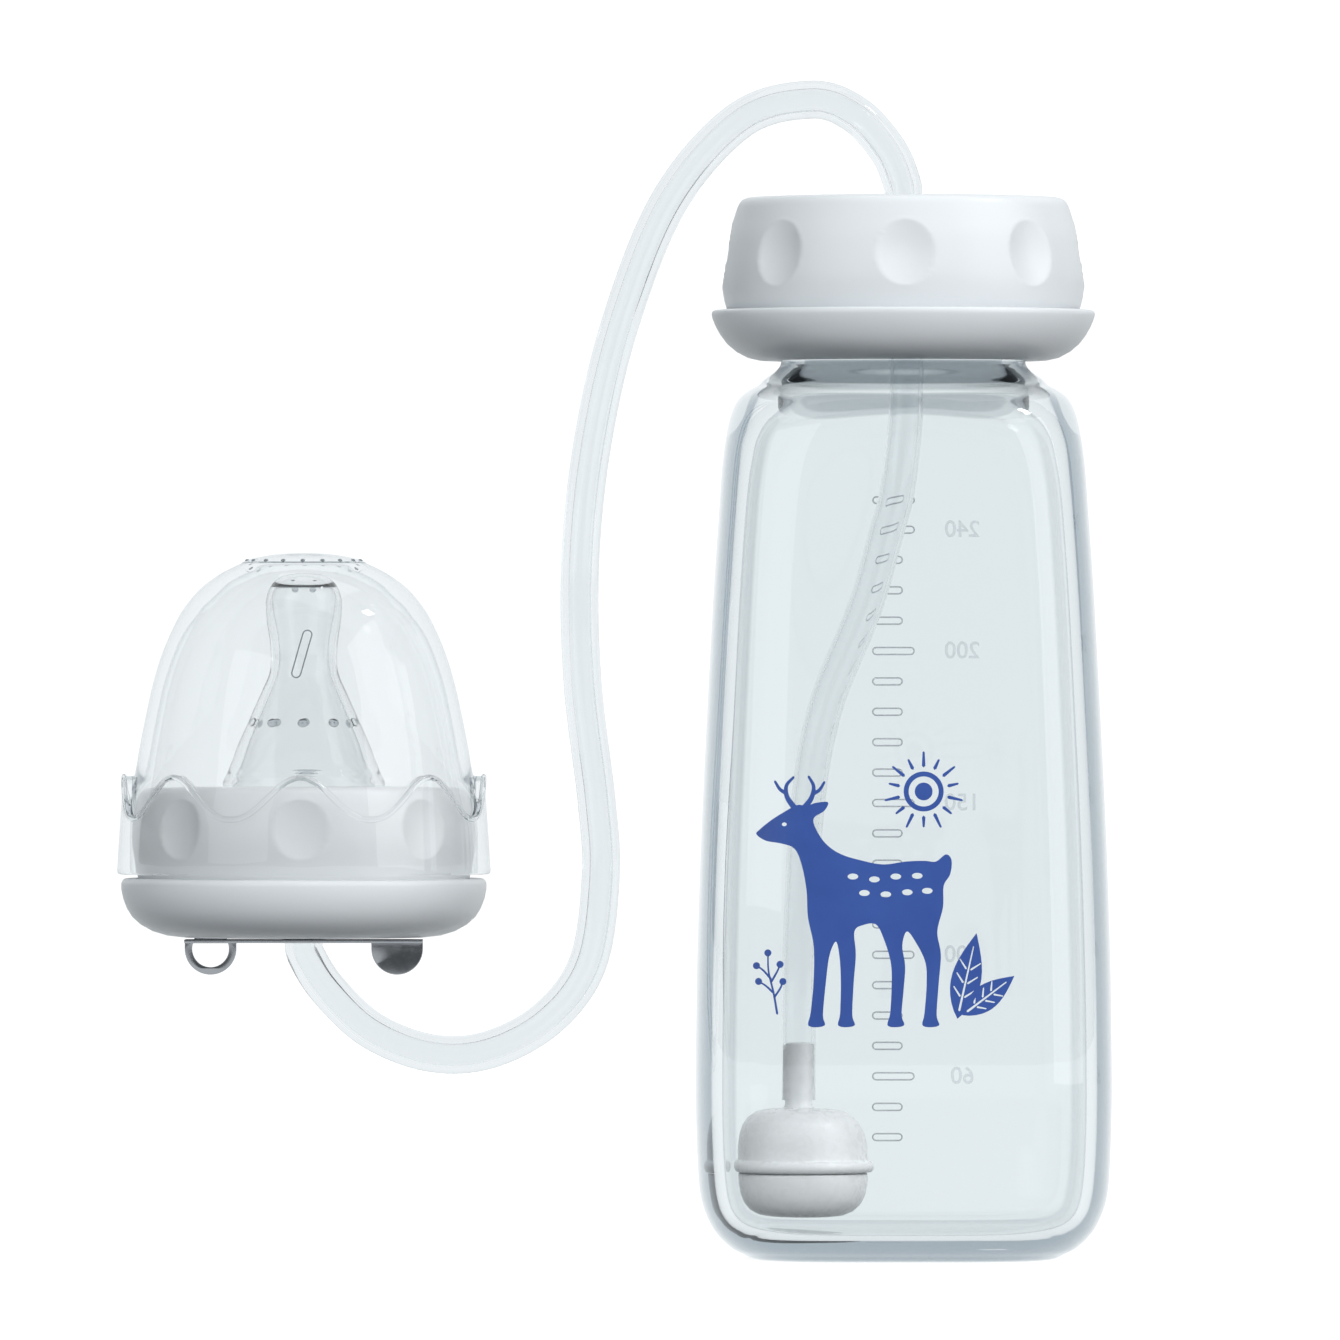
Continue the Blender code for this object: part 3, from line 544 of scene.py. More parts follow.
# Inner faces below INNER_GLASS_TOP take the painted shade of inner_glass.
for face in bottle.data.polygons:
    if face.normal.dot(core - face.center) > 0.0 and face.center.z < INNER_GLASS_TOP * MM:
        face.material_index = 1
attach(bottle, "bottle")
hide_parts("bottle_body")

neck_thread = helix_bead("neck_thread", NECK_RADIUS, 129.4, 2.0, 1.1, glass)
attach(neck_thread, "bottle")


def wall_depth(x, z):
    """How far the outer wall stands from the bottle's middle plane at one place."""
    for low, high in zip(outer_levels, outer_levels[1:]):
        if low[0] <= z <= high[0]:
            share = (z - low[0]) / (high[0] - low[0])
            level = low.lerp(high, share)
            reach = max(0.0, 1.0 - abs(x / level[1]) ** level[2])
            return level[1] * reach ** (1 / level[2])
    return 0.0


# Volume scale: raised bars, one each 10 ml, with numbers beside the long ones, cast
# with the back wall. They face backwards.
SCALE_LEFT = -4.0
SCALE_SHORT = 0.2
SCALE_LONG = 1.9
BAR_HALF_HEIGHT = 0.5
MARK_LINE = 0.11
FIRST_MARK = (40, 16.4)
TOP_MARK = (240, 103.3)
NUMBERS = ((60, 4.4), (100, 5.2), (150, 5.2), (200, 5.2), (240, 5.2))
NUMBER_HEIGHT = 3.4
NUMBER_LEFT = SCALE_LONG + 2.6

# Painted shade: the bars are drawn only as thin grey-tinted glass lines round each outline, in place of the
# dark edges of clear raised bars.
scale_glass, scale_shader = toned_material(
    "scale_glass", (0.80, 0.83, 0.86), (0.70, 0.74, 0.78), 80.0, 60.0, 0.05, 0.05, 0.00001)
scale_shader.inputs["Transmission Weight"].default_value = 0.6
scale_shader.inputs["IOR"].default_value = 1.5


def mark_height(volume):
    share = (volume - FIRST_MARK[0]) / (TOP_MARK[0] - FIRST_MARK[0])
    return FIRST_MARK[1] + share * (TOP_MARK[1] - FIRST_MARK[1])


def outline_rows(outline, radius):
    """Rings of a thin round line that follows an outline on the back wall."""
    rows = []
    count = len(outline)
    for i in range(count):
        x, z = outline[i]
        before = Vector(outline[i - 1])
        after = Vector(outline[(i + 1) % count])
        along = (after - before).normalized()
        aside = Vector((along[1], 0.0, -along[0]))
        out = Vector((0.0, 1.0, 0.0))
        centre = Vector((x, wall_depth(x, z), z))
        row = []
        for side in range(6):
            turn = 2 * math.pi * side / 6
            row.append((centre + radius * (math.cos(turn) * aside + math.sin(turn) * out)) * MM)
        rows.append(row)
    return rows


def bar_outline(left, right, height):
    outline = []
    for end, start_angle in ((right, -90), (left, 90)):
        centre = end - BAR_HALF_HEIGHT if end == right else end + BAR_HALF_HEIGHT
        for step in range(7):
            turn = math.radians(start_angle + 30 * step)
            across = centre + BAR_HALF_HEIGHT * math.cos(turn)
            outline.append((across, height + BAR_HALF_HEIGHT * math.sin(turn)))
    return outline


for volume in range(FIRST_MARK[0], 260, 10):
    long_bar = volume in [number for number, gap in NUMBERS] or volume == 250
    right = SCALE_LONG if long_bar else SCALE_SHORT
    outline = bar_outline(SCALE_LEFT, right, mark_height(volume))
    bar = skin(f"scale_bar_{volume}", outline_rows(outline, MARK_LINE), scale_glass, loop=True)
    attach(bar, "bottle")


def drawn_mesh(name, curve):
    """The mesh of a curve, whose own object is thrown away."""
    maker = new_piece(name + "_maker", curve)
    mesh = bpy.data.meshes.new_from_object(maker.evaluated_get(bpy.context.evaluated_depsgraph_get()))
    bpy.data.objects.remove(maker, do_unlink=True)
    return mesh


def raised_text(name, words, x, z, height, material):
    """Letters in low relief on the back wall, read from behind."""
    letters = bpy.data.curves.new(name, "FONT")
    letters.body = words
    letters.size = height * MM
    letters.extrude = 0.08 * MM
    letters.bevel_depth = 0.03 * MM
    letters.align_x = "LEFT"
    letters.align_y = "CENTER"
    mesh = drawn_mesh(name, letters)
    for vertex in mesh.vertices:
        across = x + vertex.co.x / MM
        up = z + vertex.co.y / MM
        depth = wall_depth(across, up) + vertex.co.z / MM
        vertex.co = Vector((across, depth, up)) * MM
    mesh.materials.clear()
    mesh.materials.append(material)
    return new_piece(name, mesh)


def mirrored(piece, x):
    """Turns the letters about an upright line so that they read from behind."""
    for vertex in piece.data.vertices:
        vertex.co.x = 2 * x * MM - vertex.co.x
    piece.data.flip_normals()


# Painted shade: the numbers are tinted a light grey for the faint dark look of clear raised glass.
number_glass, number_shader = toned_material(
    "number_glass", (0.90, 0.925, 0.94), (0.86, 0.885, 0.90), 80.0, 60.0, 0.05, 0.05, 0.00001)
number_shader.inputs["Transmission Weight"].default_value = 0.9
number_shader.inputs["IOR"].default_value = 1.3
for number, gap in NUMBERS:
    text = raised_text(
        f"scale_number_{number}", str(number), NUMBER_LEFT, mark_height(number), NUMBER_HEIGHT, number_glass)
    mirrored(text, NUMBER_LEFT + (gap / 2 + 0.8))
    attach(text, "bottle")

# Print: a plain deer, sun, leaf and berry decoration in blue ink, screened on the front
# wall as a thin raised film.
PRINT_FILM = 0.03
PRINT_GAP = 0.02
PRINT_LAYER = 0.02
PRINT_STEP = 1.2
WELD = 0.0005 * MM
SUN_PLACE = (2.5, 66.2)
SUN_RAYS = 14
DEER = (
    (-20.9, 60.2), (-20.4, 60.9), (-18.8, 62.2), (-16.9, 63.4), (-15.2, 64.3), (-13.9, 64.2), (-12.6, 64.6),
    (-10.9, 64.7), (-11.4, 63.5), (-12.9, 62.4), (-12.4, 60.6), (-11.0, 58.7), (-9.0, 57.4), (-6.4, 56.6),
    (-3.2, 56.0), (0.0, 56.4), (2.6, 56.5), (4.2, 56.4), (5.6, 57.4), (6.4, 56.6), (6.2, 54.6), (5.3, 53.0),
    (5.2, 50.0), (4.4, 46.6), (4.9, 43.4), (4.6, 39.4), (4.3, 35.0), (4.6, 33.45), (2.4, 33.4), (2.6, 35.2),
    (2.9, 39.2), (2.7, 42.4), (1.2, 45.4), (0.1, 46.6),
    (-0.5, 44.6), (-0.1, 41.8), (-0.3, 38.6), (-0.6, 35.0),
    (-0.3, 33.45), (-2.5, 33.4), (-2.2, 35.2), (-2.0, 38.8), (-2.1, 42.2), (-3.1, 45.6), (-4.2, 47.6),
    (-6.0, 47.5), (-7.2, 46.6), (-7.0, 43.4), (-7.3, 39.4), (-7.5, 35.0), (-7.2, 33.45), (-9.4, 33.4),
    (-9.2, 35.2), (-9.1, 39.6), (-9.3, 43.2), (-9.8, 45.2), (-10.7, 43.2), (-11.2, 39.4), (-11.6, 35.0),
    (-11.4, 33.45), (-13.6, 33.4), (-13.3, 35.4), (-12.9, 39.8), (-12.9, 44.6), (-13.7, 48.6), (-13.9, 52.4),
    (-14.6, 56.0), (-15.6, 58.2), (-17.4, 58.9), (-19.6, 59.3),
)
DEER_SPOTS = (
    (-7.4, 54.3), (-4.4, 53.9), (-1.4, 54.3), (1.6, 54.4),
    (-5.8, 52.0), (-2.8, 51.8), (0.2, 52.1), (3.0, 52.3),
)
ANTLERS = (
    ((-15.5, 63.8), (-16.6, 65.4), (-16.7, 67.0), (-15.7, 68.2)),
    ((-16.65, 65.9), (-17.6, 66.5), (-18.3, 67.6)),
    ((-14.2, 63.9), (-13.2, 65.3), (-12.9, 66.9), (-13.6, 68.3)),
    ((-13.0, 65.9), (-12.1, 66.4), (-11.4, 67.5)),
)
BERRY_STEMS = (
    ((-18.0, 35.1), (-18.5, 38.0), (-19.2, 41.0), (-19.3, 43.6)),
    ((-18.5, 38.0), (-19.6, 39.0), (-20.6, 39.6)),
    ((-18.4, 37.4), (-17.6, 38.6), (-17.2, 39.6)),
    ((-18.9, 40.0), (-20.0, 41.2), (-20.9, 41.8)),
    ((-18.8, 39.6), (-18.0, 41.0), (-17.6, 42.0)),
)
LEAVES = (((7.2, 34.4), (9.9, 46.4), 2.1), ((7.9, 34.9), (15.2, 40.4), 1.8))

ink = toned_material(
    "blue_ink", (0.048, 0.115, 0.42), (0.032, 0.08, 0.33), 160.0, 900.0, 0.28, 0.42, 0.000004)[0]


def rounded(points, per=5):
    """A smooth closed outline through the given corners."""
    loop = [Vector(point) for point in points]
    return stretches([loop[-1], *loop, loop[0], loop[1]], per)


def oval(place, across, up, count=20):
    turns = [2 * math.pi * i / count for i in range(count)]
    return [Vector((place[0] + across * math.cos(turn), place[1] + up * math.sin(turn))) for turn in turns]


def stroke(points, start_width, end_width):
    """The outline of a pen stroke through the points, with round ends."""
    line = smooth_through(points, 6) if len(points) > 2 else [Vector(point) for point in points]
    left = []
    right = []
    for i, point in enumerate(line):
        along = (line[min(i + 1, len(line) - 1)] - line[max(i - 1, 0)]).normalized()
        aside = Vector((-along[1], along[0]))
        half = 0.5 * (start_width + (end_width - start_width) * i / (len(line) - 1))
        left.append(point + half * aside)
        right.append(point - half * aside)
    tip = (line[-1] - line[-2]).normalized() * end_width * 0.5
    tail = (line[0] - line[1]).normalized() * start_width * 0.5
    return [*left, line[-1] + tip, *reversed(right), line[0] + tail]


def leaf_outline(base, tip, half_width):
    """A pointed leaf, widest a little below its middle."""
    base = Vector(base)
    along = Vector(tip) - base
    aside = Vector((-along[1], along[0])).normalized()
    shares = [i / 12 for i in range(13)]
    bulge = [half_width * math.sin(math.pi * share ** 0.85) for share in shares]
    left = [base + along * share + aside * width for share, width in zip(shares, bulge)]
    right = [base + along * share - aside * width for share, width in zip(shares, bulge)]
    return left + right[-2:0:-1]


def leaf_veins(base, tip, half_width):
    """Slits left bare for the midrib and the side veins."""
    base = Vector(base)
    along = Vector(tip) - base
    aside = Vector((-along[1], along[0])).normalized()
    veins = [stroke([base + along * 0.1, base + along * 0.84], 0.3, 0.16)]
    for share in (0.26, 0.42, 0.58):
        for side in (-1, 1):
            start = base + along * share + aside * side * 0.36
            end = base + along * (share + 0.09) + aside * side * half_width * 0.7
            veins.append(stroke([start, end], 0.26, 0.16))
    return veins


def filled_drawing(name, outlines, half_thickness):
    """A flat filled curve; outlines inside another are holes."""
    drawing = bpy.data.curves.new(name, "CURVE")
    drawing.dimensions = "2D"
    drawing.fill_mode = "BOTH"
    drawing.extrude = half_thickness * MM
    for outline in outlines:
        spline = drawing.splines.new("POLY")
        spline.points.add(len(outline) - 1)
        for point, spot in zip(spline.points, outline):
            point.co = (spot[0] * MM, spot[1] * MM, 0.0, 1.0)
        spline.use_cyclic_u = True
    return drawing


def welded(mesh):
    bm = bmesh.new()
    bm.from_mesh(mesh)
    bmesh.ops.remove_doubles(bm, verts=bm.verts, dist=WELD)
    return bm


def printed(name, outlines, layer):
    """A thin film of ink on the front wall. Outlines inside another leave bare glass."""
    film = drawn_mesh(name, filled_drawing(name, outlines, 0.5 * PRINT_FILM))
    bm = welded(film)
    low = min(vertex.co.x for vertex in bm.verts) / MM
    high = max(vertex.co.x for vertex in bm.verts) / MM
    cut = PRINT_STEP * math.ceil(low / PRINT_STEP)
    while cut < high:
        everything = bm.verts[:] + bm.edges[:] + bm.faces[:]
        bmesh.ops.bisect_plane(bm, geom=everything, plane_co=(cut * MM, 0.0, 0.0), plane_no=(1.0, 0.0, 0.0))
        cut += PRINT_STEP
    for vertex in bm.verts:
        x = vertex.co.x / MM
        z = vertex.co.y / MM
        out = PRINT_GAP + PRINT_LAYER * layer + 0.5 * PRINT_FILM + vertex.co.z / MM
        vertex.co = Vector((x, -wall_depth(x, z) - out, z)) * MM
    bmesh.ops.recalc_face_normals(bm, faces=bm.faces)
    bm.to_mesh(film)
    bm.free()
    film.materials.clear()
    film.materials.append(ink)
    piece = new_piece(name, film)
    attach(piece, "bottle")
    return piece


eye = oval((-17.0, 61.6), 0.34, 0.26, 12)
printed("print_deer", [rounded(DEER), eye, *[oval(spot, 0.75, 0.42, 14) for spot in DEER_SPOTS]], 0)
for number, antler in enumerate(ANTLERS):
    thick = 0.85 if len(antler) > 3 else 0.6
    printed(f"print_antler_{number}", [stroke(antler, thick, 0.35)], 1 + number % 2)
sun_circles = [oval(SUN_PLACE, radius, radius, count) for radius, count in ((2.8, 48), (2.1, 40), (1.25, 28))]
printed("print_sun", sun_circles, 0)
rays = []
for number in range(SUN_RAYS):
    turn = 2 * math.pi * (number + 0.5) / SUN_RAYS
    heading = Vector((math.cos(turn), math.sin(turn)))
    reach = 5.5 if number % 2 else 4.9
    rays.append(stroke([Vector(SUN_PLACE) + heading * 3.6, Vector(SUN_PLACE) + heading * reach], 0.5, 0.3))
printed("print_rays", rays, 0)
for number, leaf in enumerate(LEAVES):
    printed(f"print_leaf_{number}", [leaf_outline(*leaf), *leaf_veins(*leaf)], number)
for number, stem in enumerate(BERRY_STEMS):
    printed(f"print_stem_{number}", [stroke(stem, 0.32, 0.22)], number % 2)
berries = [oval(stem[-1], 0.5, 0.5, 16) for stem in BERRY_STEMS]
printed("print_berries", berries, 2)

# Screw cap: a white moulded barrel with a sunk finger dimple every 45 degrees, a soft
# top edge, and a threaded sleeve inside.
CAP_DIMPLE_Z = 141.8
DIMPLES = 8
RING_SIDES = 320
CAP_BARREL = (
    (22.0, 150.0), (22.7, 149.75), (23.25, 149.1), (23.6, 148.2), (24.05, 146.8), (24.7, 144.6),
    (25.15, 142.3), (25.5, 139.8), (25.6, 137.8), (25.35, 135.6), (24.7, 133.6), (23.8, 132.3),
    (22.9, 131.7),
)

white_plastic, white_shader = toned_material(
    "white_plastic", (0.80, 0.83, 0.85), (0.77, 0.80, 0.825), 40.0, 900.0, 0.28, 0.40, 0.000006)
white_shader.inputs["Coat Weight"].default_value = 0.15
white_shader.inputs["Coat Roughness"].default_value = 0.25


def dimple_depth(angle, radius, z, centre_z, half_width, half_height, depth):
    """How far a ring of shallow round dimples sinks a wall at one place."""
    step = 2 * math.pi / DIMPLES
    aside = (angle + step / 2) % step - step / 2
    off = math.hypot(aside * radius / half_width, (z - centre_z) / half_height)
    if off < 1.0:
        return depth * (1 - off * off)
    return -0.06 * math.exp(-((off - 1.0) / 0.06) ** 2)


def ring_row(x, radius, z, sides):
    """A level circle of points about the upright line at x."""
    turns = [2 * math.pi * side / sides for side in range(sides)]
    return [Vector((x + radius * math.cos(turn), radius * math.sin(turn), z)) * MM for turn in turns]


def dimpled_ring(name, barrel, inside, x, centre_z, half_width, half_height, depth, material):
    """A turned ring whose outer wall carries the dimples; inside closes the profile."""
    outer = evenly(smooth_through([(r, z, 0.0) for r, z in barrel], 8), 80)
    rows = []
    for point in outer:
        row = []
        for side in range(RING_SIDES):
            angle = 2 * math.pi * side / RING_SIDES
            hollow = dimple_depth(angle, point[0], point[1], centre_z, half_width, half_height, depth)
            radius = point[0] - hollow
            row.append(Vector((x + radius * math.cos(angle), radius * math.sin(angle), point[1])) * MM)
        rows.append(row)
    rows += [ring_row(x, radius, z, RING_SIDES) for radius, z in inside]
    return skin(name, rows, material, loop=True)


CAP_INSIDE = (
    (22.2, 131.9), (22.4, 133.4), (23.1, 137.8), (22.9, 141.0), (22.3, 145.0), (21.7, 147.2), (21.0, 147.3),
    (21.0, 130.5), (20.9, 130.4), (19.3, 130.4), (19.2, 130.5), (19.2, 147.2), (19.1, 147.3), (13.3, 147.3),
    (13.2, 147.4), (13.2, 149.6), (13.3, 149.85), (13.6, 150.0),
)
cap = dimpled_ring("cap_ring_shell", CAP_BARREL, CAP_INSIDE, 0.0, CAP_DIMPLE_Z, 4.15, 4.6, 1.0, white_plastic)
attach(cap, "cap_ring")
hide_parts("cap_collar")

# Cap top: a white sealing disc under the ring's hole with a raised middle, a soft air valve
# plugged through it at the side, and the collared nipple that the hose is pushed on.
LID_DISC = (
    (12.2, 149.6), (12.6, 149.2), (12.6, 147.0), (16.6, 147.0), (16.6, 145.5), (5.2, 145.5), (5.2, 139.5),
    (3.9, 139.5), (3.9, 147.9), (5.9, 147.9), (5.9, 149.6),
)
HOSE_NIPPLE = (
    (3.3, 149.8), (3.3, 149.3), (5.5, 149.3), (5.5, 148.2), (3.55, 148.2), (3.55, 140.0), (1.5, 140.0),
    (1.5, 149.8),
)
VENT_X = 10.1
AIR_VALVE = (
    (0.0, 150.0), (0.5, 150.0), (0.6, 149.7), (1.1, 149.7), (1.2, 150.0), (2.2, 150.0), (2.5, 149.9),
    (2.6, 149.75), (2.5, 149.62), (1.5, 149.6), (1.5, 145.2),
    (2.3, 145.2), (2.3, 144.6), (0.7, 142.9), (0.0, 142.9),
)


def eased(profile, radius, steps=4):
    """A closed profile with its sharp corners rounded."""
    points = [Vector(point) for point in profile]
    count = len(points)
    soft = []
    for i, corner in enumerate(points):
        before = points[i - 1] - corner
        after = points[(i + 1) % count] - corner
        if before.angle(after) > math.radians(155):
            soft.append(corner)
            continue
        start = corner + before.normalized() * min(radius, 0.45 * before.length)
        end = corner + after.normalized() * min(radius, 0.45 * after.length)
        for step in range(steps + 1):
            t = step / steps
            soft.append(start.lerp(corner, t).lerp(corner.lerp(end, t), t))
    return soft


def turned(name, profile, x, material, sides=160):
    """A ring turned about the upright line at x from a closed profile of radius and height."""
    rows = [ring_row(x, point[0], point[1], sides) for point in profile]
    return skin(name, rows, material, loop=True)


def turned_solid(name, profile, x, material, sides=128):
    """A body turned from an open profile that starts and ends on the axis."""
    bm = bmesh.new()
    first = bm.verts.new(Vector((x, 0.0, profile[0][1])) * MM)
    last = bm.verts.new(Vector((x, 0.0, profile[-1][1])) * MM)
    rings = []
    for radius, z in profile[1:-1]:
        rings.append([bm.verts.new(spot) for spot in ring_row(x, radius, z, sides)])
    for near, far in zip(rings, rings[1:]):
        for i in range(sides):
            j = (i + 1) % sides
            bm.faces.new((near[i], near[j], far[j], far[i]))
    for i in range(sides):
        j = (i + 1) % sides
        bm.faces.new((first, rings[0][j], rings[0][i]))
        bm.faces.new((last, rings[-1][i], rings[-1][j]))
    return finished(name, bm, material)


lid_disc = turned("lid_disc", eased(LID_DISC, 0.3), 0.0, white_plastic)
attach(lid_disc, "lid")
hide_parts("cap_disc")

hose_nipple = turned("hose_nipple", eased(HOSE_NIPPLE, 0.2), 0.0, white_plastic, 96)
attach(hose_nipple, "hose")
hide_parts("cap_fitting")

seal_silicone = toned_material(
    "seal_silicone", (0.78, 0.80, 0.82), (0.72, 0.75, 0.78), 60.0, 600.0, 0.45, 0.6, 0.000008)[0]
air_valve = turned_solid("air_valve", AIR_VALVE, VENT_X, seal_silicone, 64)
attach(air_valve, "lid")
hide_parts("cap_vent")

# Neck saucer: a thin white moulded bowl with a soft rim, snapped over the thread so
# that it hangs round the neck's foot.
SAUCER = (
    (17.65, 127.0), (20.4, 127.0), (22.0, 127.35), (23.6, 128.2), (24.9, 129.3), (25.9, 130.6), (26.6, 131.9),
    (27.0, 132.9), (27.15, 133.5), (27.05, 133.95), (26.6, 134.15),
    (26.05, 134.05), (25.65, 133.6), (25.2, 132.5),
    (24.5, 131.4), (23.4, 130.2), (22.1, 129.2), (20.6, 128.6), (17.65, 128.5),
)
saucer = turned("neck_bowl", eased(SAUCER, 0.25), 0.0, white_plastic)
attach(saucer, "neck_saucer")
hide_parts("cap_saucer")

# Straw and weighted end: a clear soft straw hangs from the cap; its end is pushed on the
# stem of a white moulded weight whose two halves meet in a lip.
STRAW_ROUTE = (
    (0.3, 133.1), (0.5, 127.0), (0.2, 118.0), (-0.9, 108.4), (-2.4, 102.6), (-4.6, 94.5), (-6.6, 89.0),
    (-8.9, 83.6), (-10.7, 78.9), (-12.2, 73.0), (-13.1, 67.6), (-13.9, 60.0), (-14.3, 52.0), (-14.7, 42.0),
    (-14.8, 32.0), (-14.8, 22.4),
)
WEIGHT_X = -14.8

straw_spine = evenly(smooth_through([Vector((x, 0.0, z)) * MM for x, z in STRAW_ROUTE], 10), 120)
straw = hollow_tube("drinking_straw", straw_spine, 2.45 * MM, 1.9 * MM, 32, hose_silicone)
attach(straw, "straw_end")
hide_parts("straw")

WEIGHT_TOP = (
    (1.9, 30.4), (1.95, 22.0), (2.1, 21.35), (3.0, 21.2), (4.9, 21.15), (6.4, 20.8), (7.8, 20.0), (8.8, 18.9),
    (9.4, 17.5), (9.75, 15.8), (9.8, 14.1), (9.9, 13.85), (10.2, 13.75), (10.5, 13.55), (10.7, 13.15),
    (10.7, 12.75), (10.5, 12.35), (10.2, 12.15), (9.9, 12.1), (8.0, 12.1), (7.6, 15.6), (6.4, 18.0),
    (4.2, 19.4), (0.8, 19.6), (0.8, 30.3), (1.1, 30.5), (1.45, 30.5),
)
WEIGHT_FOOT = (
    (7.5, 12.0), (9.7, 12.0), (9.8, 11.6), (9.75, 10.4), (9.45, 8.9), (8.8, 7.6), (7.7, 6.5), (6.3, 5.75),
    (4.8, 5.5), (1.3, 5.5), (1.2, 5.6), (1.2, 6.9), (4.2, 7.0), (6.2, 8.4), (7.2, 10.4),
)
weight_plastic = toned_material(
    "weight_plastic", (0.87, 0.89, 0.90), (0.84, 0.86, 0.875), 50.0, 700.0, 0.22, 0.34, 0.000006)[0]
weight_top = turned("weight_top", eased(WEIGHT_TOP, 0.2), WEIGHT_X, weight_plastic, 96)
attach(weight_top, "straw_end")
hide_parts("weight_upper")
weight_foot = turned("weight_foot", eased(WEIGHT_FOOT, 0.2), WEIGHT_X, weight_plastic, 96)
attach(weight_foot, "straw_end")
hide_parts("weight_lower")

# Teat unit base: a white moulded saucer with a soft rim and a hollow threaded boss.
UNIT_X = -84.8
BASE = (
    (3.0, 45.4), (17.2, 45.4), (19.4, 45.65), (21.4, 46.25), (23.1, 47.2), (24.3, 48.3), (25.05, 49.5),
    (25.55, 50.8), (25.85, 52.2), (25.85, 53.1), (25.6, 53.6), (25.1, 53.8), (24.6, 53.65), (24.3, 53.2),
    (24.1, 51.9), (23.4, 50.4), (22.3, 49.2), (20.6, 48.3),
    (16.8, 48.2), (16.8, 62.1), (12.1, 62.1), (12.1, 49.7),
    (11.0, 49.7), (11.0, 47.3), (3.0, 47.3),
)
base = turned("teat_base", eased(BASE, 0.25), UNIT_X, white_plastic)
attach(base, "hose")
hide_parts("base_saucer")

# Teat ring: the same white barrel as the cap's, smaller, round the foot of the teat.
RING_BARREL = (
    (21.4, 66.9), (22.3, 66.75), (22.95, 66.3), (23.4, 65.5), (23.85, 63.8), (24.2, 61.6), (24.3, 59.4),
    (24.1, 57.2), (23.7, 54.8), (23.1, 52.6), (22.6, 51.4), (21.9, 50.9),
)
RING_INSIDE = (
    (21.4, 51.2), (21.7, 54.6), (22.2, 57.5), (22.4, 60.8), (21.9, 64.3), (21.8, 64.4), (20.5, 64.4),
    (20.5, 51.5), (20.4, 51.4), (18.8, 51.4), (18.7, 51.5), (18.7, 64.4), (11.9, 64.4), (11.9, 66.5),
    (12.0, 66.75), (12.3, 66.9),
)
ring = dimpled_ring("teat_ring_shell", RING_BARREL, RING_INSIDE, UNIT_X, 60.8, 3.95, 4.2, 1.0, white_plastic)
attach(ring, "teat_ring")
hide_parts("teat_collar")

# Teat: clear soft silicone, a thick clamped flange, a cone with a ring of small air
# pips, a waist and a rounded head with a slanted flow mark.
TEAT_OUTSIDE = (
    (0.0, 96.8), (1.2, 96.78), (2.6, 96.5), (3.9, 95.8), (4.8, 94.8), (5.3, 93.6), (5.4, 92.2), (5.25, 90.4),
    (4.95, 88.2), (4.75, 86.4), (4.7, 84.8), (4.8, 83.2), (5.2, 81.9), (5.9, 80.3), (6.8, 78.3), (8.3, 74.9),
    (9.7, 71.8), (10.7, 69.6), (11.3, 68.7), (11.5, 68.2),
)
TEAT_FLANGE = ((11.5, 64.1), (16.3, 64.1), (16.3, 62.5), (10.0, 62.5), (10.0, 67.4))
TEAT_INSIDE = (
    (9.9, 67.8), (9.4, 69.0), (8.3, 71.4), (6.9, 74.9), (5.45, 78.3), (4.5, 80.5), (3.85, 82.4), (3.55, 84.2),
    (3.5, 85.6), (3.6, 87.4), (3.95, 89.6), (4.35, 91.6), (4.5, 93.2), (4.3, 94.3), (3.6, 94.75), (0.0, 94.9),
)

teat_silicone = clear_material(
    "teat_silicone", (0.975, 0.98, 0.982), (0.955, 0.962, 0.967), (60.0, 200.0), 0.02, 0.0,
    bend=1.24, gloss=0.6, edge=0.95, depth=0.3)

teat_profile = smooth_through(TEAT_OUTSIDE, 4) + [Vector(point) for point in TEAT_FLANGE]
teat_profile += smooth_through(TEAT_INSIDE, 4)
teat_profile[0] = Vector((0.0, TEAT_OUTSIDE[0][1]))
teat = turned_solid("soft_teat", teat_profile, UNIT_X, teat_silicone)
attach(teat, "teat_head")
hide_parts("teat")

MARK_CENTRE = (-0.2, 85.5)
MARK_LENGTH = 7.0
MARK_WIDTH = 1.27
MARK_LEAN = math.radians(16)
PIP_RINGS = ((10, 7.2, 75.6, 0.75, 90.0), (2, 1.25, 94.5, 0.5, 0.0))


def profile_radius(profile, z):
    """The radius of a turned outline at one height."""
    for upper, lower in zip(profile, profile[1:]):
        if lower[1] <= z <= upper[1]:
            share = (upper[1] - z) / max(upper[1] - lower[1], 0.0001)
            return upper[0] + share * (lower[0] - upper[0])
    return 0.0


def pips(name, number, ring_radius, z, size, first, x, material):
    """A ring of small rounded knobs."""
    bm = bmesh.new()
    for i in range(number):
        turn = math.radians(first) + 2 * math.pi * i / number
        place = Vector((x + ring_radius * math.cos(turn), ring_radius * math.sin(turn), z)) * MM
        shape = Matrix.Translation(place) @ Matrix.Diagonal((1.0, 1.0, 0.85, 1.0))
        bmesh.ops.create_icosphere(bm, subdivisions=3, radius=size * MM, matrix=shape)
    mesh = bpy.data.meshes.new(name)
    bm.to_mesh(mesh)
    bm.free()
    mesh.shade_smooth()
    mesh.materials.append(material)
    return new_piece(name, mesh)


for number, ring_radius, z, size, first in PIP_RINGS:
    knobs = pips(f"teat_pips_{number}", number, ring_radius, z, size, first, UNIT_X, hose_silicone)
    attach(knobs, "teat_head")

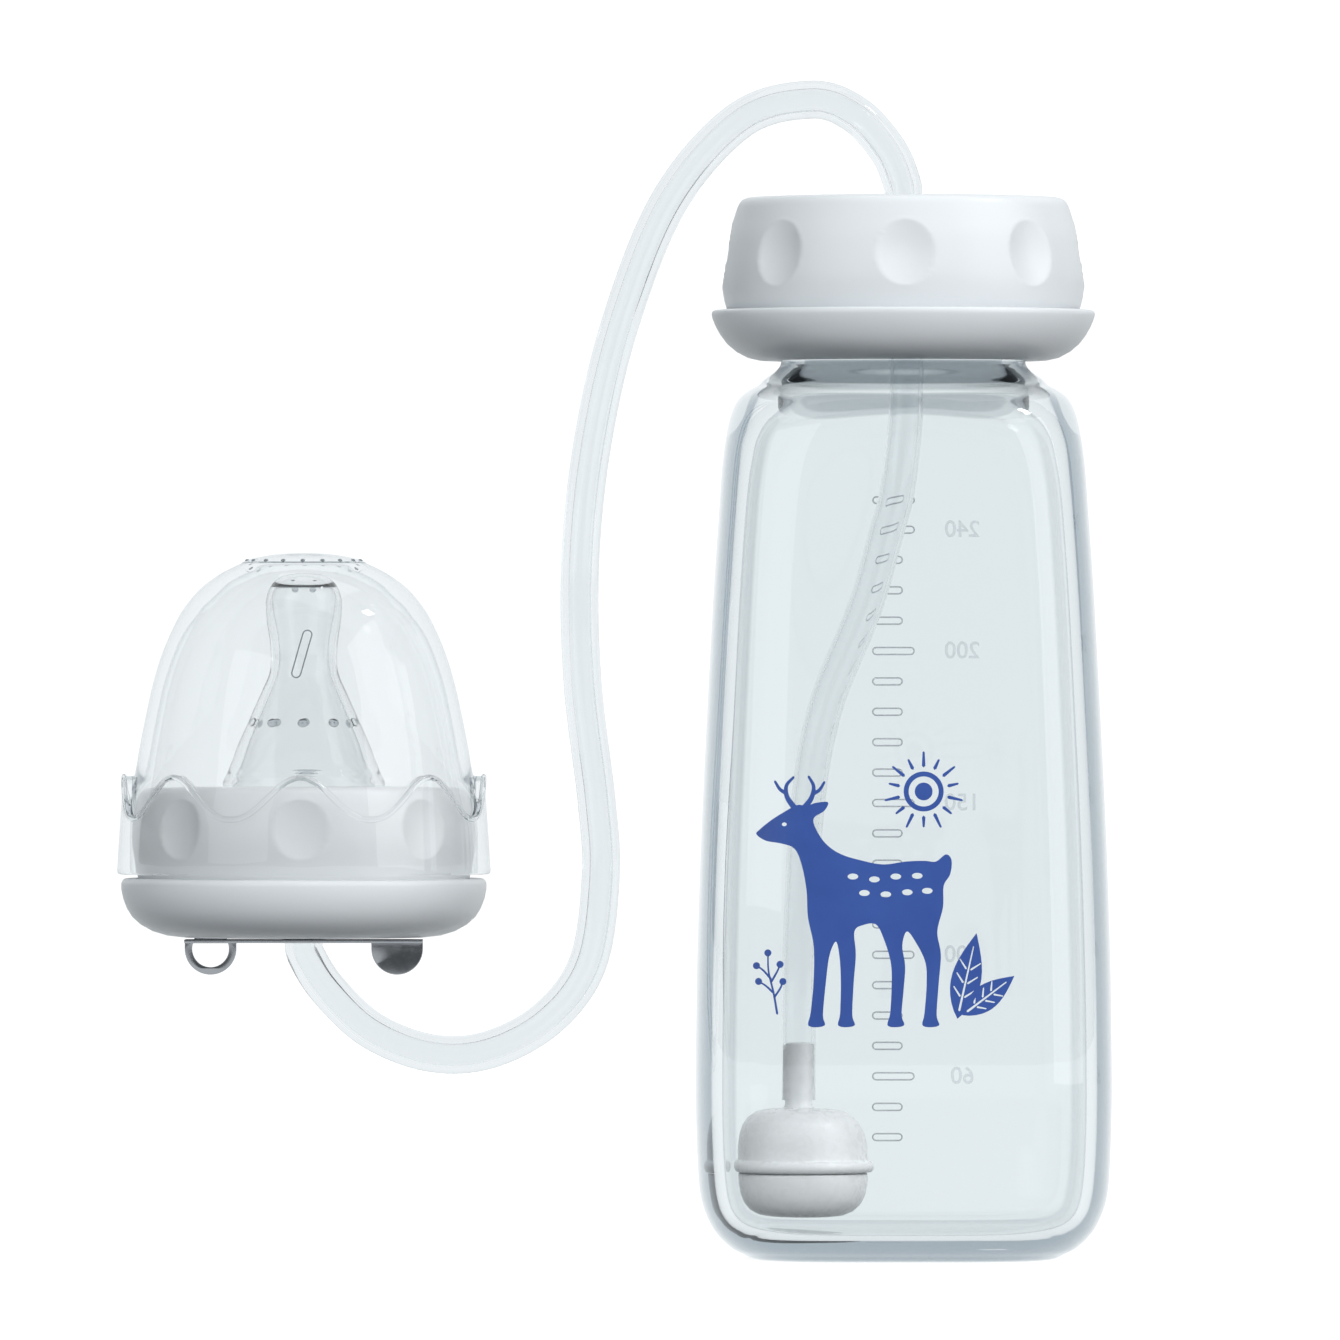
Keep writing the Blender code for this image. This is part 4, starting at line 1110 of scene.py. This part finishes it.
mark_silicone, mark_shader = toned_material(
    "mark_silicone", (0.42, 0.46, 0.50), (0.34, 0.38, 0.42), 80.0, 200.0, 0.06, 0.06, 0.000004)
mark_shader.inputs["Transmission Weight"].default_value = 0.6
mark_shader.inputs["IOR"].default_value = 1.41
mark_rows = []
mark_outline = []
for end in (-1, 1):
    for step in range(9):
        turn = math.radians(180 if end < 0 else 0) + math.pi * step / 8
        across = 0.5 * MARK_WIDTH * math.cos(turn)
        up = end * 0.5 * (MARK_LENGTH - MARK_WIDTH) + 0.5 * MARK_WIDTH * math.sin(turn)
        mark_outline.append((across, up))
for first, second in zip(mark_outline, mark_outline[1:] + mark_outline[:1]):
    for share in (0.0, 0.34, 0.67):
        across = first[0] + share * (second[0] - first[0])
        up = first[1] + share * (second[1] - first[1])
        x = MARK_CENTRE[0] + across * math.cos(MARK_LEAN) + up * math.sin(MARK_LEAN)
        z = MARK_CENTRE[1] + up * math.cos(MARK_LEAN) - across * math.sin(MARK_LEAN)
        radius = profile_radius(teat_profile, z)
        mark_rows.append(Vector((UNIT_X + x, -math.sqrt(radius ** 2 - x ** 2), z)))
mark_skin = []
for i, centre in enumerate(mark_rows):
    along = (mark_rows[(i + 1) % len(mark_rows)] - mark_rows[i - 1]).normalized()
    aside = along.cross(Vector((0.0, 1.0, 0.0))).normalized()
    out = Vector((0.0, -1.0, 0.0))
    turns = [2 * math.pi * side / 6 for side in range(6)]
    mark_skin.append([
        (centre + 0.09 * (math.cos(turn) * aside + math.sin(turn) * out)) * MM for turn in turns])
flow_mark = skin("flow_mark", mark_skin, mark_silicone, loop=True)
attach(flow_mark, "teat_head")

# Cover: one thick clear moulding, a scalloped skirt that grips the ring and a plain dome
# with a flat top ringed by air pips.
COVER_BOTTOM = 54.3
CREST = 68.2
VALLEY = 62.3
COVER_SIDES = 256
COVER_DOME = (
    (70.2, 23.6), (72.2, 23.3), (76.7, 22.4), (81.2, 21.4), (85.8, 20.0), (90.3, 18.0), (92.5, 16.6),
    (94.8, 14.6), (96.6, 12.2), (97.6, 10.4), (98.2, 9.1), (98.35, 8.85), (98.55, 8.6), (98.95, 7.4),
    (99.35, 5.6), (99.65, 3.4), (99.8, 0.5),
)
COVER_HOLLOW = (
    (98.3, 0.5), (98.2, 2.6), (97.95, 4.6), (97.5, 6.4), (96.8, 8.0), (95.9, 9.8), (94.2, 12.2), (91.3, 15.1),
    (87.6, 17.5), (82.0, 19.6), (76.0, 20.95), (72.0, 21.7), (70.0, 22.2), (68.4, 22.8), (66.9, 23.55),
    (65.4, 24.1), (63.8, 24.35), (61.6, 24.6), (58.0, 24.65), (55.0, 24.65), (54.5, 24.8),
    (54.3, 25.1),
)
cover_plastic = clear_material(
    "cover_plastic", (0.99, 0.995, 0.995), (0.975, 0.982, 0.984), (40.0, 30.0), 0.0, 0.000004,
    bend=1.13, gloss=1.0, edge=0.4, depth=0.65)


def scallop(angle):
    """The skirt's edge height in one direction: eight rounded waves."""
    wave = 0.5 + 0.5 * math.cos(DIMPLES * angle)
    return VALLEY + (CREST - VALLEY) * wave ** 1.15


def skirt_radius(z):
    return 26.5 - 0.065 * (z - COVER_BOTTOM)


def layer_radius(z):
    return 25.25 - 0.21 * (z - VALLEY)


def cover_row(height_at, radius_at):
    row = []
    for side in range(COVER_SIDES):
        angle = 2 * math.pi * side / COVER_SIDES
        z = height_at(angle)
        radius = radius_at(z)
        row.append(Vector((UNIT_X + radius * math.cos(angle), radius * math.sin(angle), z)) * MM)
    return row


def level_row(z, radius):
    return cover_row(lambda angle: z, lambda height: radius)


cover_rows = [level_row(z, r) for z, r in smooth_through(COVER_HOLLOW, 4)]
cover_rows += [level_row(COVER_BOTTOM, 26.2), level_row(COVER_BOTTOM + 0.15, 26.4)]
for share in (0.05, 0.25, 0.5, 0.75, 0.93):
    cover_rows.append(cover_row(
        lambda angle: COVER_BOTTOM + share * (scallop(angle) - COVER_BOTTOM), skirt_radius))
cover_rows.append(cover_row(lambda angle: scallop(angle) - 0.12, lambda z: skirt_radius(z) - 0.05))
cover_rows.append(cover_row(scallop, lambda z: skirt_radius(z) - 0.25))
cover_rows.append(cover_row(lambda angle: scallop(angle) + 0.03, lambda z: layer_radius(z) + 0.2))
cover_rows.append(cover_row(lambda angle: scallop(angle) + 0.15, layer_radius))
for share in (0.35, 0.7):
    cover_rows.append(cover_row(
        lambda angle: scallop(angle) + 0.15 + share * (69.0 - scallop(angle)), layer_radius))
cover_rows += [level_row(z, r) for z, r in smooth_through(COVER_DOME, 4)]
cover = skin("teat_cover", cover_rows, cover_plastic)
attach(cover, "teat_cover")
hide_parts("cover")

EDGE_BEAD = 0.42
bead_rows = []
for side in range(COVER_SIDES):
    angle = 2 * math.pi * side / COVER_SIDES
    height = scallop(angle) - 0.1
    radius = skirt_radius(height) - 0.15
    heading = Vector((math.cos(angle), math.sin(angle), 0.0))
    centre = Vector((UNIT_X, 0.0, height)) + radius * heading
    ahead = angle + 0.01
    following = (UNIT_X + radius * math.cos(ahead), radius * math.sin(ahead), scallop(ahead) - 0.1)
    along = Vector(following) - centre
    aside = along.normalized().cross(heading).normalized()
    turns = [2 * math.pi * step / 10 for step in range(10)]
    bead_rows.append([
        (centre + EDGE_BEAD * (math.cos(t) * aside + math.sin(t) * heading)) * MM for t in turns])
edge_bead = skin("scallop_bead", bead_rows, cover_plastic, loop=True)
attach(edge_bead, "teat_cover")

cover_pips = pips("cover_pips", 18, 8.1, 98.62, 0.34, 90.0, UNIT_X, mark_silicone)
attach(cover_pips, "teat_cover")

# Steel lugs under the base: a dark polished strip with an eye on the left and a plain
# round-ended tab on the right.
steel, steel_shader = toned_material(
    "lug_steel", (0.46, 0.47, 0.49), (0.34, 0.35, 0.37), 120.0, 500.0, 0.12, 0.24, 0.000003)
steel_shader.inputs["Metallic"].default_value = 1.0

LUG_OFFSET = 13.2
LUG_RADIUS = 3.65
LUG_HOLE = 2.6
LUG_CENTRE = 43.75
LUG_TOP = 44.85
LUG_THICKNESS = 1.5
STRIP_TOP = 45.1
STRIP_THICKNESS = 0.5
HOSE_HOLE = 3.3
LIP_RISE = 0.367
LIP_START = 42.66
LIP_LEAN = math.tan(math.radians(8))


def stamped(name, outlines, thickness, edge):
    """A flat mesh stamped from sheet: outlines inside another are holes. Its edges are
    rounded by edge, and it lies in the plane of the first two axes."""
    drawing = filled_drawing(name, outlines, 0.5 * thickness - edge)
    drawing.bevel_depth = edge * MM
    drawing.bevel_resolution = 2
    drawing.offset = -edge * MM
    sheet = drawn_mesh(name, drawing)
    bm = welded(sheet)
    bm.to_mesh(sheet)
    bm.free()
    return sheet


def steel_piece(name, sheet, place):
    """Puts a stamped sheet in its place, given each point's three measures in mm."""
    bm = bmesh.new()
    bm.from_mesh(sheet)
    for vertex in bm.verts:
        vertex.co = Vector(place(*(measure / MM for measure in vertex.co))) * MM
    bmesh.ops.recalc_face_normals(bm, faces=bm.faces)
    bm.to_mesh(sheet)
    bm.free()
    sheet.shade_smooth()
    sheet.set_sharp_from_angle(angle=math.radians(35))
    sheet.materials.clear()
    sheet.materials.append(steel)
    piece = new_piece(name, sheet)
    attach(piece, "hose")
    return piece


def lug_outline(offset):
    """Square above and round below."""
    outline = [(offset + LUG_RADIUS, LUG_TOP), (offset - LUG_RADIUS, LUG_TOP)]
    for i in range(49):
        turn = math.pi + math.pi * i / 48
        outline.append((offset + LUG_RADIUS * math.cos(turn), LUG_CENTRE + LUG_RADIUS * math.sin(turn)))
    return outline


def upright(across, up, depth):
    return UNIT_X + across, depth, up


def bent_lip(across, up, depth):
    """The tab's lower corner leans forward below a slanted fold."""
    below = LIP_START + LIP_RISE * (across - LUG_OFFSET) - up
    return UNIT_X + across, depth - max(0.0, below) * LIP_LEAN, up


half_length = LUG_OFFSET + LUG_RADIUS
corners = [(side * half_length, end * LUG_RADIUS) for side, end in ((1, 1), (-1, 1), (-1, -1), (1, -1))]
strip = stamped("steel_strip", [corners, oval((0.0, 0.0), HOSE_HOLE, HOSE_HOLE, 64)], STRIP_THICKNESS, 0.08)
STRIP_MIDDLE = STRIP_TOP - STRIP_THICKNESS / 2
steel_strip = steel_piece("steel_strip", strip, lambda x, y, z: (UNIT_X + x, y, STRIP_MIDDLE + z))
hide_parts("lug_plate")
eye_hole = oval((-LUG_OFFSET, LUG_CENTRE), LUG_HOLE, LUG_HOLE, 64)
eye_sheet = stamped("steel_eye", [lug_outline(-LUG_OFFSET), eye_hole], LUG_THICKNESS, 0.12)
steel_piece("steel_eye", eye_sheet, upright)
tab_sheet = stamped("steel_tab", [lug_outline(LUG_OFFSET)], LUG_THICKNESS, 0.12)
bm = bmesh.new()
bm.from_mesh(tab_sheet)
fold_normal = (-LIP_RISE, 1.0, 0.0)
bmesh.ops.bisect_plane(bm, geom=bm.verts[:] + bm.edges[:] + bm.faces[:], plane_no=fold_normal,
                       plane_co=(LUG_OFFSET * MM, LIP_START * MM, 0.0))
bm.to_mesh(tab_sheet)
bm.free()
steel_piece("steel_tab", tab_sheet, bent_lip)

# Hidden pieces keep their plain shapes, in the same moulded finishes.
for node in ("cap_gasket", "straw_socket", "valve_flap"):
    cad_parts[node].material_slots[0].material = seal_silicone
for node in ("base_fitting", "valve_seat"):
    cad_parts[node].material_slots[0].material = white_plastic
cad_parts["weight_ballast"].material_slots[0].material = steel
